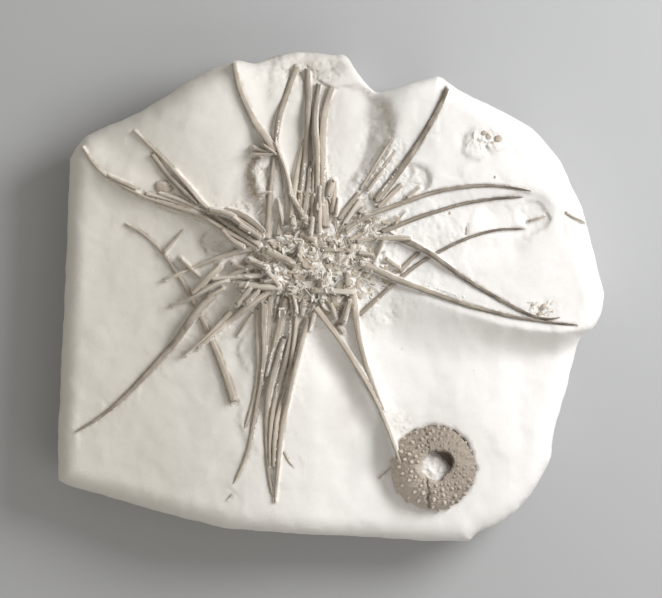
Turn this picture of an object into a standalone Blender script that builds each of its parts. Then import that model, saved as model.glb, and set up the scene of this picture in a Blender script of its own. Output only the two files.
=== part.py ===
"""A crushed fossil sea urchin, its loose spines and a small whole urchin on a block of chalk.

Lengths are in millimetres until a mesh is made. The origin is at the middle of the block's
underside, +X runs along its longer side, +Y across it and +Z up off the face with the fossils.
"""
import math

import bmesh
import bpy
import numpy as np
from mathutils import Vector, noise
from mathutils.bvhtree import BVHTree
from mathutils.geometry import delaunay_2d_cdt

MM = 0.001
GAP = 0.3                    # clearance between pieces that touch
CLEAR = 0.45                 # clearance aimed at where a faceted face is pressed under a spine
COLLECTION = "fossil_sea_urchin"

# ---------------------------------------------------------------- driving dimensions
CREST = 44.0                 # height of the block's face before its relief
LEFT_FALL = 12.0             # how far the face drops towards the left edge
BASIN_DROP = 10.0            # how far the lower right lies below the rest
SHOULDER = 10.0              # radius of the worn edge round the face
FACE_POINTS = 7.0            # spacing of the face's points away from the spines
FACE_CLEAR = 2.8             # least distance between one of them and a groove
PRESS_ROUNDS = 30            # passes that press the face down under the fossils
SIDE_LUMPS = 0.022           # lumps of the block's sides, per millimetre
UNDERCUT = ((0.80, 1.2), (0.42, 2.6), (0.10, 5.5), (0.0, 9.0))    # share of height, inset

SPINE_STEP = 9.0             # spacing of a spine's rings
SPINE_FINE = 0.8             # spacing at which the spines are laid side by side
SPINE_LIFT = 0.45            # a spine's axis above the chalk, in radii
SPINE_BEND = 0.012           # how sharply a stiff spine may arch over another, per millimetre
SPINE_TAPER = 0.8            # how soon a spine thins towards its point
SIDE_BY_SIDE = 0.42          # sine of the angle under which two spines count as side by side
SLIMMEST = 0.62              # least share of its radius that a packed spine keeps
GROOVE_DEPTH = 0.6           # how far a groove's bottom clears the spine
GROOVE_SIDE = 0.35           # how far a groove's edges lie beside the spine
GROOVE_CLEAR = 1.3           # least distance between the points of two grooves
GROOVE_REACH = 2.2           # spines higher than this above the chalk, in radii, have no groove
BANK_REACH = 4.5             # spines higher than this above the chalk have no bank of chalk
BANK_SLOPE = 0.9             # how steeply the chalk falls away from a bedded spine
SETTLE_ROUNDS = 12           # passes that raise a spine over those below it
SETTLE_SHARE = 0.55          # share of the missing height that a pass adds at each end

TEST_CENTRE = (48.5, -79.5)
TEST_SEAT = 31.5             # level on which the small test is bedded
TEST_DOME = ((6.5, 12.3), (7.4, 14.2), (10.0, 15.6), (13.4, 14.8), (16.8, 11.9), (19.2, 8.0),
             (20.5, 3.6), (20.4, 0.0))    # radius, height above the seat
TEST_COLUMNS = 20            # columns of plates round the small test
BEADS_FROM = 8.6             # the tubercles begin this far from the opening's middle
TUBERCLE_INSET = 0.85
TUBERCLE_HEIGHT = 0.9
SEAT_RADIUS = 20.9           # the seat sunk in the chalk for the small test
SEAT_WALL = 1.3              # how far the seat's wall leans out
SEAT_GAP = 0.4
PLUG_RADIUS = 6.1            # the chalk that fills the test's opening
PLUG_HEIGHT = 9.5

HEAP_THICKNESS = 3.4
HEAP_EDGE = 1.0
HEAP_POINTS = 4.3            # spacing of the crust's points
HEAP_ROUGHNESS = 1.5         # how far its broken plates stand up and down
HEAP_LUMPS = 0.37            # size of those plates, as lumps per millimetre
HEAP_ROOT = 0.8              # how deep the crust is rooted in the chalk
HEAP_LEAST = 1.2             # its least thickness
HEAP_SAMPLES = 8             # points along each side of a triangle where its bed is checked

# the block's outline, clockwise from the left of the top edge
OUTLINE = (
    (-122.3, 65), (-119.3, 70), (-115, 75), (-105, 80), (-95, 84), (-85, 89.3), (-75, 95.3), (-65, 102),
    (-55, 107), (-44, 110.5), (-35, 109.5), (-25, 113), (-15, 115), (0, 113.5), (7, 113), (12, 106),
    (17, 99.5), (22, 96), (30, 97.2), (40, 100.3), (50, 103), (55, 100.2), (60, 96.7), (70, 91.5),
    (80, 86.8), (93, 79.5), (99, 73.5), (107.5, 63), (112.5, 52.5), (118, 40.5), (122, 25),
    (127.4, 4), (128, -1), (126.5, -8.6), (122.9, -14.8), (117, -19.8), (113, -35), (109, -50),
    (106.2, -59), (104, -70), (103.4, -76), (97, -88.5), (88, -100), (79, -106.5), (69, -111),
    (64, -114.7), (50, -115), (20, -113), (-10, -111.5), (-35, -109.7), (-50, -108.5), (-60, -106),
    (-75, -102.3), (-90, -98.2), (-105, -93.8), (-120, -89.8), (-126.5, -87), (-128, -84),
    (-128, -62.7), (-127.1, -49), (-126.2, -23), (-125, 0), (-123.6, 34))

HEAP_OUTLINE = (
    (-34, 3), (-36, 12), (-35, 21), (-30, 27), (-23, 31), (-14, 31), (-6, 29), (2, 29), (9, 25.5),
    (17, 25), (24, 23), (28, 17), (24, 11), (17, 7), (12, -1), (8, -8), (-1, -9), (-8, -5),
    (-15, -6), (-21, -2), (-28, -1))

# line along the top of the scarp that falls to the lower right: x, y, width of the fall, share
SCARP = ((-40, -14, 26, 0.0), (-8, -12, 26, 0.25), (8, -6, 24, 0.6), (28, 3, 27, 0.85),
         (45, -1, 31, 1.0), (60, -6.5, 27, 1.0), (75, -11.5, 20, 1.1), (90, -15, 15, 1.25),
         (105, -16.5, 12.5, 1.25), (120, -15, 10, 1.2), (135, -9, 9, 1.2))

# foot of the step that rises to the upper right lobe: y, x, width of the rise, height
STEP = ((42, 2, 8, 0.0), (52, 8, 8, 1.5), (61, 13.5, 9, 3.6), (70, 16.5, 11, 5.5), (82, 17.5, 18, 8.0),
        (95, 18, 24, 8.5), (116, 19, 24, 8.5))
STEP_FADE = (-52, 46)        # where the lower ground left of the step begins, and over what width

# where the block's edge is keen rather than worn: centre, reach, share
KEEN_EDGE = ((12, 104), (34, 16), 0.75)

# valleys and ridges of the face: points of (x, y, half width, depth), a ridge has a depth below 0
VALLEYS = (
    ((58, 41, 7, 1.5), (75, 40, 9, 2.2), (91, 39, 8, 1.8)),
    ((70, 22, 6, 1.0), (86, 24, 7, 2.2), (98, 28, 6, 0.8)),
    ((25, -68, 4, 2.0), (23, -84, 5, 3.5), (29, -97, 4, 1.0)),
    ((-9, -16, 5, 1.0), (3, -36, 7, 2.4), (14, -58, 7, 2.2)),
    ((-3, -8, 5, -1.2), (10, -29, 6, -3.0), (25, -57, 6, -3.4), (29, -66, 5, -1.6)),
    ((-45, 109, 5, -2.4), (-36, 84, 5, -1.0), (-27, 70, 4, -0.6)),
    ((-118, 68, 7, -1.6), (-92, 51, 7, -2.0), (-62, 38, 6, -1.2)),
)

# swellings and hollows of the face: centre, reach, turn in degrees, height, steepness of the side
MOUNDS = (
    ((70, 58), (46, 34), 0, 4.0, 1),
    ((-68, 80), (28, 17), 35, 4.5, 1),
    ((-4, 12), (40, 26), 0, 2.6, 1),
    ((6, 78), (11, 20), 0, 0.7, 1),
    ((76, 74), (17, 17), 0, 1.6, 1),
    ((-95, -40), (34, 42), 0, 2.0, 1),
    ((-9, 113.5), (27, 9.5), 4, -3.2, 3),
    ((-30, 54.5), (8, 13), -4, 1.9, 4),
    ((36, 54), (11, 7), 20, -1.3, 4),
    ((86, 38), (17, 10), 10, -1.3, 5),
    ((-43, -27), (5, 8), 0, -1.6, 1),
    ((-56, 26), (7, 6), 0, -1.8, 2),
    ((75, -60), (26, 24), 0, 2.5, 1),
    ((-78, 51), (6, 4.5), 0, 1.0, 1),
)

# Spines in the order in which they came to rest: name, radius at the thick end and at the point,
# and the route in plan.
SPINES = (
    ("west_stray", 1.8, 0.4, ((-45, -48.8), (-48.5, -38), (-52.2, -28), (-56, -19), (-60.5, -9),
                              (-65, 0), (-70, 8.5), (-75, 16), (-80, 22.5), (-87, 29), (-96.5, 34.3))),
    ("north_1", 1.6, 0.9, ((-29.5, 26.5), (-28, 50), (-26.3, 65))),
    ("north_2", 1.65, 1.0, ((-19.3, 38), (-20, 44), (-22, 57), (-25, 71))),
    ("north_3", 1.5, 0.7, ((-18.7, 32.5), (-17.5, 44), (-15.8, 57), (-12.3, 74.5))),
    ("north_4", 1.5, 1.1, ((-14.6, 40), (-12, 60), (-10.8, 80), (-10.5, 92), (-10.9, 106))),
    ("north_5", 1.1, 1.0, ((-12.3, 38), (-10.3, 50), (-9.7, 60))),
    ("north_6", 1.4, 0.7, ((-8.5, 34), (-8.2, 50), (-7.4, 63))),
    ("north_7", 1.7, 1.1, ((-2.3, 32.5), (-3.4, 57), (-3.8, 70), (-3.5, 80), (-2, 90), (0.7, 97.5))),
    ("north_8", 1.2, 1.0, ((-6.3, 35), (-6.2, 57), (-6.5, 68), (-7.4, 78), (-7, 88), (-5.6, 99))),
    ("north_9", 1.3, 1.3, ((1.2, 39), (1.4, 53.5))),
    ("north_10", 1.8, 1.0, ((-25.3, 67), (-31, 75), (-35, 80.5), (-40.5, 92), (-43, 99), (-44.9, 108))),
    ("north_11", 1.2, 1.0, ((-25.4, 72.5), (-24.9, 78), (-23.6, 85.5), (-21.5, 90.5), (-18.7, 99.6),
                            (-15.7, 107))),
    ("north_12", 0.9, 0.8, ((-9, 31.5), (-14, 40), (-18.2, 46.7), (-20.3, 57), (-25.6, 70.9))),

    ("north_east_1", 1.1, 1.0, ((22.2, 41.5), (33, 52))),
    ("north_east_2", 1.5, 0.85, ((21, 44.5), (30.5, 56.3), (40.3, 70.3), (50.2, 87.3), (54.2, 96.7))),
    ("north_east_3", 1.1, 0.9, ((6.5, 34), (13.8, 45))),
    ("north_east_4", 1.0, 0.8, ((4, 36), (8.5, 42.5), (13, 48))),
    ("north_east_5", 1.3, 1.1, ((7, 29.5), (12, 33.5), (17.5, 38.5))),
    ("north_east_6", 1.1, 1.0, ((9, 26), (16, 30.5))),

    ("east_1", 1.1, 0.5, ((13.8, -8.2), (28, 4.7), (36, 11.5), (44, 17.4), (49.5, 20.3), (60, 25.7),
                          (70, 29.3), (80, 31.4), (90.5, 31.4))),
    ("east_2", 1.6, 0.5, ((7, 31), (17.5, 37.8), (28, 41.5), (38, 45.3), (50, 49), (60, 50.6),
                          (70, 51.6), (80, 51.2), (93.5, 49))),
    ("east_3", 1.25, 0.5, ((24, 30), (38, 35.8), (50, 39.8), (60, 42.8), (70, 44.6), (80, 45.8),
                          (89.5, 46.2))),
    ("east_4", 1.2, 0.8, ((32.2, 12), (37.5, 17.3), (42, 21.5))),
    ("east_5", 1.4, 0.55, ((31, 27.2), (37, 25), (45, 20.8), (50, 17.5), (60, 10), (70, 3.7),
                          (80, -2), (90, -7.4), (96, -9.6), (101, -10.8), (106.7, -9.8))),
    ("east_6", 1.65, 0.5, ((13.5, 15.5), (20, 13), (28, 9), (36, 5.8), (45, 2.5), (55, -1),
                           (65, -4.5), (75, -7), (85, -9.5), (95, -11), (105, -12.5), (115.3, -13.3))),

    ("south_east_1", 1.5, 0.6, ((9.5, 4), (10.5, 0), (12, -12), (13.5, -21), (16.5, -32),
                                (20.8, -44), (25.3, -54))),
    ("south_east_2", 1.4, 0.65, ((-7, -5), (0, -14), (5, -21), (10, -29), (15, -37), (20, -46),
                                 (25, -57), (27.5, -63.5), (29.5, -69), (32.7, -78))),

    ("south_1", 1.5, 0.6, ((-33.8, -6), (-33.9, -20), (-33.6, -32), (-34.8, -43), (-37, -52.5),
                           (-40, -61.3))),
    ("south_2", 1.0, 0.9, ((-28.3, 0), (-28.8, -10), (-29.8, -26))),
    ("south_3", 1.9, 0.5, ((-31, -3.4), (-31.3, -15), (-31, -28), (-32.3, -40), (-34.2, -50),
                           (-36.3, -62), (-38.5, -72), (-41.5, -80), (-45.2, -87.2))),
    ("south_4", 1.6, 1.3, ((-20.3, -0.5), (-22.8, -9.5), (-26, -23.5), (-29.4, -37))),
    ("south_5", 1.6, 0.6, ((-21.5, -19.5), (-25, -30.5), (-27.5, -38.5), (-29.5, -48), (-29.8, -58),
                           (-30, -67), (-29.6, -76), (-28.3, -86), (-26.2, -95.5))),
    ("south_6", 1.25, 0.8, ((-17.6, -8), (-18.8, -20), (-21, -30), (-24, -42), (-26.3, -50),
                           (-28, -62), (-28.3, -79))),
    ("south_7", 1.35, 0.9, ((-16, -9), (-16.5, -18), (-19, -36), (-21.5, -45), (-24.5, -55),
                           (-26.2, -68), (-26.3, -79.5))),
    ("south_8", 1.1, 0.9, ((-12, -11), (-14.5, -22), (-16.3, -30))),
    ("south_9", 1.7, 0.6, ((-10, -10), (-12.5, -18), (-15.5, -30), (-19.5, -46), (-22, -57),
                           (-23.2, -66), (-24.5, -79), (-25.9, -95.8))),

    ("south_west_1", 1.2, 1.1, ((-28, 2.8), (-34, -1.5), (-40, -6), (-47, -11.5), (-55, -18.2),
                                (-62, -24))),
    ("south_west_2", 1.5, 0.5, ((-46.6, -7.2), (-52.2, -13.2), (-60, -20.8), (-67.5, -26.8))),
    ("south_west_3", 1.9, 0.5, ((-55, 0.5), (-60, -4.5), (-65, -10.5), (-70, -18), (-77, -26.5),
                                (-84, -34), (-90, -40.5), (-96, -46.5), (-102, -52),
                                (-108, -56.5), (-114, -60.5), (-119.3, -63.3))),

    ("west_1", 1.3, 1.1, ((-35, 14.8), (-48.5, 9))),
    ("west_2", 1.1, 1.0, ((-31, 9.8), (-45, 9), (-55, 8.1))),
    ("west_3", 1.2, 0.4, ((-48, 7.5), (-52.5, 6.3), (-60, 2.3), (-67, -1.7), (-75.3, -4.7))),
    ("west_4", 1.2, 1.0, ((-51, 14.2), (-64.5, 1.5))),
    ("west_5", 1.4, 0.4, ((-36.5, 22.4), (-42, 21.3), (-50, 19), (-60, 15), (-65, 13), (-72, 10),
                          (-78.3, 7.2))),
    ("west_6", 1.3, 1.2, ((-23.6, 4.1), (-42.4, 5.4))),

    ("north_west_1", 1.2, 1.0, ((-33, 27), (-45, 31), (-55, 35.5), (-62, 40), (-70, 43.3),
                                (-78, 46), (-86, 48))),
    ("north_west_2", 1.4, 0.5, ((-41, 23), (-46, 26.5), (-52, 31), (-60, 35.9), (-68, 38.5),
                                (-78, 41.8), (-88, 46.3), (-98, 51))),
    ("north_west_3", 1.1, 1.0, ((-55, 38), (-60, 40.5), (-66, 43.3), (-72, 46), (-80, 48))),
    ("north_west_4", 1.5, 0.5, ((-34, 22.5), (-40, 26), (-50, 31.5), (-58, 36.5), (-65, 39.5),
                                (-75, 42.5), (-86, 46), (-95, 50.5), (-104, 55.6), (-110, 61),
                                (-116, 70))),
    ("north_west_5", 1.0, 0.8, ((-90.3, 50.2), (-97, 53.3), (-104, 56.3))),
    ("north_west_6", 1.2, 1.0, ((-62, 43), (-68, 48.5), (-72, 52.5), (-76, 56.5), (-83, 66.3))),
    ("north_west_7", 1.4, 1.2, ((-31.3, 30), (-36, 34.5), (-42, 38.3), (-49, 40.3))),
    ("north_west_8", 1.1, 0.9, ((-31.5, 28), (-39.3, 33.4), (-45, 37))),
    ("north_west_9", 1.5, 0.4, ((-33, 24), (-43, 30.5), (-51, 35.5), (-54, 38.5), (-60, 43.5),
                                (-65, 50), (-72, 57.5), (-80, 66.5), (-92.3, 77.7))),

    ("centre_1", 1.8, 1.7, ((-29.5, 21.5), (-16.5, 15))),
    ("centre_2", 1.1, 1.0, ((-3, 21.8), (10, 21.2))),
    ("centre_3", 1.3, 1.2, ((-9, 3), (11, 2))),
)


# ---------------------------------------------------------------- plan geometry
def ramp(value):
    """A smooth rise from 0 to 1."""
    share = np.clip(value, 0.0, 1.0)
    return share * share * (3.0 - 2.0 * share)


def near_path(x, y, path):
    """Distance in plan to a path, and the path's other columns at its nearest point."""
    path = np.asarray(path, float)
    distance = np.full(x.shape, np.inf)
    values = np.zeros(x.shape + (path.shape[1] - 2,))
    for start, end in zip(path, path[1:]):
        run = end[:2] - start[:2]
        along = np.clip(((x - start[0]) * run[0] + (y - start[1]) * run[1]) / run.dot(run), 0.0, 1.0)
        away = np.hypot(x - start[0] - along * run[0], y - start[1] - along * run[1])
        nearer = away < distance
        distance = np.where(nearer, away, distance)
        here = start[2:] + along[..., None] * (end[2:] - start[2:])
        values = np.where(nearer[..., None], here, values)
    return distance, values


def closed(outline):
    return tuple(outline) + (outline[0],)


def inside(x, y, outline):
    """Which points lie within a closed outline."""
    within = np.zeros(x.shape, bool)
    for (x0, y0), (x1, y1) in zip(outline, closed(outline)[1:]):
        if y0 != y1:
            crosses = (y0 > y) != (y1 > y)
            within ^= crosses & (x < (x1 - x0) * (y - y0) / (y1 - y0) + x0)
    return within


def from_test(x, y):
    return np.hypot(x - TEST_CENTRE[0], y - TEST_CENTRE[1])


# ---------------------------------------------------------------- heights of the face
def relief(x, y):
    """Height of the chalk before the fossils are bedded in it."""
    z = CREST - LEFT_FALL * ramp((-20.0 - x) / 105.0)
    line_x, line_y, width, share = np.array(SCARP, float).T
    below = (np.interp(x, line_x, line_y) - y) / np.interp(x, line_x, width)
    z = z - BASIN_DROP * ramp(np.clip(below, 0.0, 1.0) ** 0.7) * np.interp(x, line_x, share)
    line_y, line_x, width, height = np.array(STEP, float).T
    above = (x - np.interp(y, line_y, line_x)) / np.interp(y, line_y, width)
    lower = ramp((x - STEP_FADE[0]) / STEP_FADE[1]) * (1.0 - ramp(np.clip(above, 0.0, 1.0) ** 0.7))
    z = z - np.interp(y, line_y, height) * lower
    for centre, reach, turn, height, steep in MOUNDS:
        c, s = math.cos(math.radians(turn)), math.sin(math.radians(turn))
        u = ((x - centre[0]) * c + (y - centre[1]) * s) / reach[0]
        v = ((y - centre[1]) * c - (x - centre[0]) * s) / reach[1]
        z = z + height * np.exp(-(u * u + v * v) ** steep)
    for path in VALLEYS:
        away, values = near_path(x, y, path)
        z = z - values[..., 1] * np.exp(-(away / values[..., 0]) ** 2)
    (centre_x, centre_y), (reach_x, reach_y), share = KEEN_EDGE
    keen = np.exp(-((x - centre_x) / reach_x) ** 2 - ((y - centre_y) / reach_y) ** 2)
    worn = SHOULDER * (1.0 - share * keen)
    edge = np.clip(near_path(x, y, closed(OUTLINE))[0], 0.0, worn)
    return z - worn + np.sqrt(worn ** 2 - (worn - edge) ** 2)


def heap_thickness(x, y):
    """Thickness of the crushed test, thin at its rim."""
    rim = near_path(x, y, closed(HEAP_OUTLINE))[0]
    full = HEAP_EDGE + (HEAP_THICKNESS - HEAP_EDGE) * ramp(rim / 7.0)
    return np.where(inside(x, y, HEAP_OUTLINE), full, 0.0)


def ground(x, y):
    """What a spine comes to rest on: the chalk, the heap or the small test."""
    z = relief(x, y) + heap_thickness(x, y)
    radius, height = np.array(TEST_DOME[::-1], float).T
    dome = np.interp(-from_test(x, y), -radius, height, left=-TEST_SEAT)
    on_test = from_test(x, y) < radius.max()
    return np.where(on_test, np.maximum(z, TEST_SEAT + dome + 1.8 * TUBERCLE_HEIGHT), z)


# ---------------------------------------------------------------- spines
def smooth_route(points, step):
    """Even steps along a smooth curve through a spine's points in plan."""
    p = np.array(points, float)
    p = np.vstack([2 * p[0] - p[1], p, 2 * p[-1] - p[-2]])
    fine = []
    for a, b, c, d in zip(p, p[1:], p[2:], p[3:]):
        for t in np.linspace(0.0, 1.0, 10, endpoint=False):
            fine.append(0.5 * (2 * b + (c - a) * t + (2 * a - 5 * b + 4 * c - d) * t * t
                               + (3 * b - a - 3 * c + d) * t ** 3))
    fine = np.array(fine + [p[-2]])
    length = np.concatenate([[0.0], np.cumsum(np.hypot(*np.diff(fine, axis=0).T))])
    at = np.linspace(0.0, length[-1], max(2, int(round(length[-1] / step)) + 1))
    return np.column_stack([np.interp(at, length, fine[:, 0]), np.interp(at, length, fine[:, 1])]), at


def squeeze(rows):
    """Thin the (x, y, radius) rows of spines where they are packed side by side."""
    slim = [row[:, 2].copy() for row in rows]
    heading = [np.gradient(row[:, :2], axis=0) for row in rows]
    for i, row in enumerate(rows):
        for j, other in enumerate(rows[:i]):
            away = np.hypot(row[:, None, 0] - other[:, 0], row[:, None, 1] - other[:, 1])
            nearest = away.argmin(axis=1)
            away = away.min(axis=1)
            across = other[nearest, 2] + row[:, 2]
            turned = np.cross(heading[i], heading[j][nearest])
            size = np.linalg.norm(heading[i], axis=1) * np.linalg.norm(heading[j][nearest], axis=1)
            beside = (away < across + GAP) & (np.abs(turned) < SIDE_BY_SIDE * size)
            for k in np.flatnonzero(beside):
                share = max(SLIMMEST, (away[k] - GAP) / across[k])
                slim[i][k] = min(slim[i][k], share * row[k, 2])
                m = nearest[k]
                slim[j][m] = min(slim[j][m], share * other[m, 2])
    for row, radius in zip(rows, slim):
        reach = min(8, (len(radius) - 1) // 2)
        padded = np.pad(radius, reach, mode="edge")
        row[:, 2] = np.convolve(padded, np.ones(2 * reach + 1) / (2 * reach + 1), "valid")
    return rows


def spine_plans(table, step):
    """Even steps of (x, y, radius) along each spine of a table."""
    rows = []
    for _, thick, thin, points in table:
        plan, at = smooth_route(points, step)
        rows.append(np.column_stack([plan, thick + (thin - thick) * (at / at[-1]) ** SPINE_TAPER]))
    return rows


def resting_height(x, y, radius, at, laid):
    """Height at which a stiff spine's axis rests on the ground and on the spines already laid."""
    need = ground(x, y) + SPINE_LIFT * radius
    for other in laid:
        near = ((other[:, 0] > x.min() - 6) & (other[:, 0] < x.max() + 6)
                & (other[:, 1] > y.min() - 6) & (other[:, 1] < y.max() + 6))
        if not near.any():
            continue
        below = other[near]
        away = np.hypot(x[:, None] - below[:, 0], y[:, None] - below[:, 1])
        reach = radius[:, None] + below[:, 3] + GAP
        over = below[:, 2] + np.sqrt(np.clip(reach ** 2 - away ** 2, 0.0, None))
        need = np.maximum(need, np.where(away < reach, over, -np.inf).max(axis=1))
    return (need - SPINE_BEND * (at[:, None] - at) ** 2).max(axis=1)


def between(knots, step=1.0):
    """Even samples of a spine's straight-sided run of (x, y, z, radius)."""
    length = np.concatenate([[0.0], np.cumsum(np.hypot(*np.diff(knots[:, :2], axis=0).T))])
    at = np.linspace(0.0, length[-1], max(2, int(length[-1] / step) + 1))
    return np.column_stack([np.interp(at, length, column) for column in knots.T]), at, length


def settle(knots, laid):
    """Raise a spine's knots until its straight runs clear the ground and the spines below it."""
    samples, at, length = between(knots)
    x, y, _, radius = samples.T
    need = resting_height(x, y, radius, at, laid)
    knots[:, 2] = np.interp(length, at, need)
    for _ in range(SETTLE_ROUNDS):
        short = need - np.interp(at, length, knots[:, 2])
        for index in range(len(knots) - 1):
            here = (at >= length[index] - 1e-6) & (at <= length[index + 1] + 1e-6)
            knots[index:index + 2, 2] += SETTLE_SHARE * max(0.0, short[here].max())
    short = need - np.interp(at, length, knots[:, 2])
    knots[:, 2] += max(0.0, short.max())
    return knots


def lay_spines():
    """Every spine's name and knots of (x, y, z, radius), laid one over another."""
    laid, rows = [], []
    for spine, row in zip(SPINES, squeeze(spine_plans(SPINES, SPINE_FINE))):
        runs = max(1, round((len(row) - 1) * SPINE_FINE / SPINE_STEP))
        x, y, radius = row[np.linspace(0, len(row) - 1, runs + 1).round().astype(int)].T
        knots = settle(np.column_stack([x, y, np.zeros(len(x)), radius]), laid)
        laid.append(between(knots)[0])
        rows.append((spine[0], knots))
    return rows


def spine_object(name, knots, material):
    """A tapering six-sided rod with closed ends."""
    curve = bpy.data.curves.new("spine_" + name, "CURVE")
    curve.dimensions = "3D"
    curve.bevel_depth = MM
    curve.bevel_resolution = 1
    curve.use_fill_caps = True
    spline = curve.splines.new("POLY")
    spline.points.add(len(knots) - 1)
    for point, (x, y, z, radius) in zip(spline.points, knots):
        point.co = (x * MM, y * MM, z * MM, 1.0)
        point.radius = radius
    curve.materials.append(material)
    return place(bpy.data.objects.new("spine_" + name, curve))


# ---------------------------------------------------------------- the face's mesh
class Plan:
    """Points and lines of the face in plan, each point with its height."""

    def __init__(self, outline, heights):
        self.points = [tuple(point) for point in outline]
        self.heights = list(heights)
        self.rim = list(range(len(self.points)))
        self.lines = []

    def add(self, x, y, z, clear):
        """Add a point unless another lies closer than the clear distance."""
        if min(math.dist((x, y), point) for point in self.points) < clear:
            return None
        self.points.append((float(x), float(y)))
        self.heights.append(float(z))
        return len(self.points) - 1

    def join(self, first, second):
        """Add a line unless it would cross another."""
        if first is None or second is None:
            return
        p, q = self.points[first], self.points[second]
        others = [line for line in self.lines if not {first, second} & set(line)]
        a = np.array([self.points[i] for i, _ in others]).reshape(-1, 2)
        b = np.array([self.points[j] for _, j in others]).reshape(-1, 2)
        apart = (turn(p, q, a) * turn(p, q, b) > 0) | (turn(a, b, p) * turn(a, b, q) > 0)
        if apart.all():
            self.lines.append((first, second))

    def triangles(self):
        """The triangles within the rim, with any point that was added where lines met."""
        plan = [Vector(point) for point in self.points]
        points, _, faces, origins, _, _ = delaunay_2d_cdt(plan, self.lines, [self.rim], 1, 1e-4)
        known = np.array(self.points)
        vertices = []
        for point, origin in zip(points, origins):
            nearest = origin[0] if origin else np.hypot(*(known - point).T).argmin()
            vertices.append((point.x, point.y, self.heights[nearest]))
        return np.array(vertices), [tuple(face) for face in faces]


def turn(a, b, c):
    """Which side of the line a to b a point lies on, as a sign."""
    (ax, ay), (bx, by), (cx, cy) = np.transpose(a), np.transpose(b), np.transpose(c)
    return (bx - ax) * (cy - ay) - (by - ay) * (cx - ax)


def honeycomb(outline, spacing):
    """Evenly spread points within an outline."""
    corner, far = np.min(outline, axis=0), np.max(outline, axis=0)
    lines = np.arange(corner[1], far[1], spacing * math.sqrt(0.75))
    spots = np.array([(x + (spacing / 2 if index % 2 else 0.0), y) for index, y in enumerate(lines)
                      for x in np.arange(corner[0], far[0], spacing)])
    keep = inside(spots[:, 0], spots[:, 1], outline)
    keep &= near_path(spots[:, 0], spots[:, 1], closed(outline))[0] > spacing * 0.55
    return spots[keep]


def keep_under(vertices, rows):
    """Lower every point that stands in a spine or closer to it than the gap."""
    for _, knots in rows:
        away, values = near_path(vertices[:, 0], vertices[:, 1], knots)
        reach = values[:, 1] + CLEAR
        below = values[:, 0] - np.sqrt(np.clip(reach ** 2 - away ** 2, 0.0, None))
        vertices[:, 2] = np.where(away < reach, np.minimum(vertices[:, 2], below), vertices[:, 2])


def press(vertices, triangles, limits):
    """Lower a surface wherever it stands above the limits, each an (x, y, highest z)."""
    for _ in range(PRESS_ROUNDS):
        tree = BVHTree.FromPolygons([Vector(v) for v in vertices], triangles)
        worst = np.zeros(len(vertices))
        for x, y, limit in limits:
            hit, _, index, _ = tree.ray_cast(Vector((x, y, 500.0)), Vector((0, 0, -1)))
            if hit is not None and hit.z > limit:
                for corner in triangles[index]:
                    worst[corner] = max(worst[corner], hit.z - limit)
        if worst.max() < 0.005:
            break
        vertices[:, 2] -= worst * 1.02


def headings(line):
    """Unit direction in plan at each point of a line."""
    heading = np.gradient(line[:, :2], axis=0)
    return heading / np.hypot(*heading.T)[:, None]


def spine_limits(rows):
    """Highest levels that leave every spine clear."""
    limits = []
    for _, knots in rows:
        samples, _, _ = between(knots, 0.7)
        heading = headings(samples)
        beyond = samples[[0, -1]]
        beyond[:, :2] += np.array([[-1.0], [1.0]]) * heading[[0, -1]] * 2.0 * GAP
        samples = np.vstack([samples, beyond])
        heading = np.vstack([heading, heading[[0, -1]]])
        for across in (-1.0, -0.8, -0.4, 0.0, 0.4, 0.8, 1.0):
            reach = samples[:, 3] + CLEAR
            offset = across * reach
            below = np.sqrt(reach ** 2 - offset ** 2)
            limits += zip(samples[:, 0] - heading[:, 1] * offset,
                          samples[:, 1] + heading[:, 0] * offset, samples[:, 2] - below)
    return limits


def add_grooves(plan, rows):
    """A groove of three lines under each spine that lies on the chalk itself."""
    for _, knots in rows:
        x, y, z, radius = knots.T
        heading = headings(knots)
        bedded = z - relief(x, y) < GROOVE_REACH * radius + 1.0
        for side in (0, -1, 1):
            offset = side * (radius + GROOVE_SIDE)
            level = z - 0.5 * radius if side else z - radius - GROOVE_DEPTH
            before = None
            for index in range(len(knots)):
                point = None
                if bedded[index]:
                    point = plan.add(x[index] - heading[index, 1] * offset[index],
                                     y[index] + heading[index, 0] * offset[index], level[index],
                                     GROOVE_CLEAR)
                plan.join(before, point)
                before = point


def bedding(x, y, rows):
    """How high the chalk is banked up against the spines."""
    level = np.full(x.shape, -np.inf)
    for _, knots in rows:
        bedded = knots[knots[:, 2] - relief(knots[:, 0], knots[:, 1]) < BANK_REACH]
        if len(bedded) > 1:
            away, values = near_path(x, y, bedded)
            level = np.maximum(level, values[..., 0] - 0.5 * values[..., 1]
                               - BANK_SLOPE * np.clip(away - values[..., 1], 0.0, None))
    return level


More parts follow.
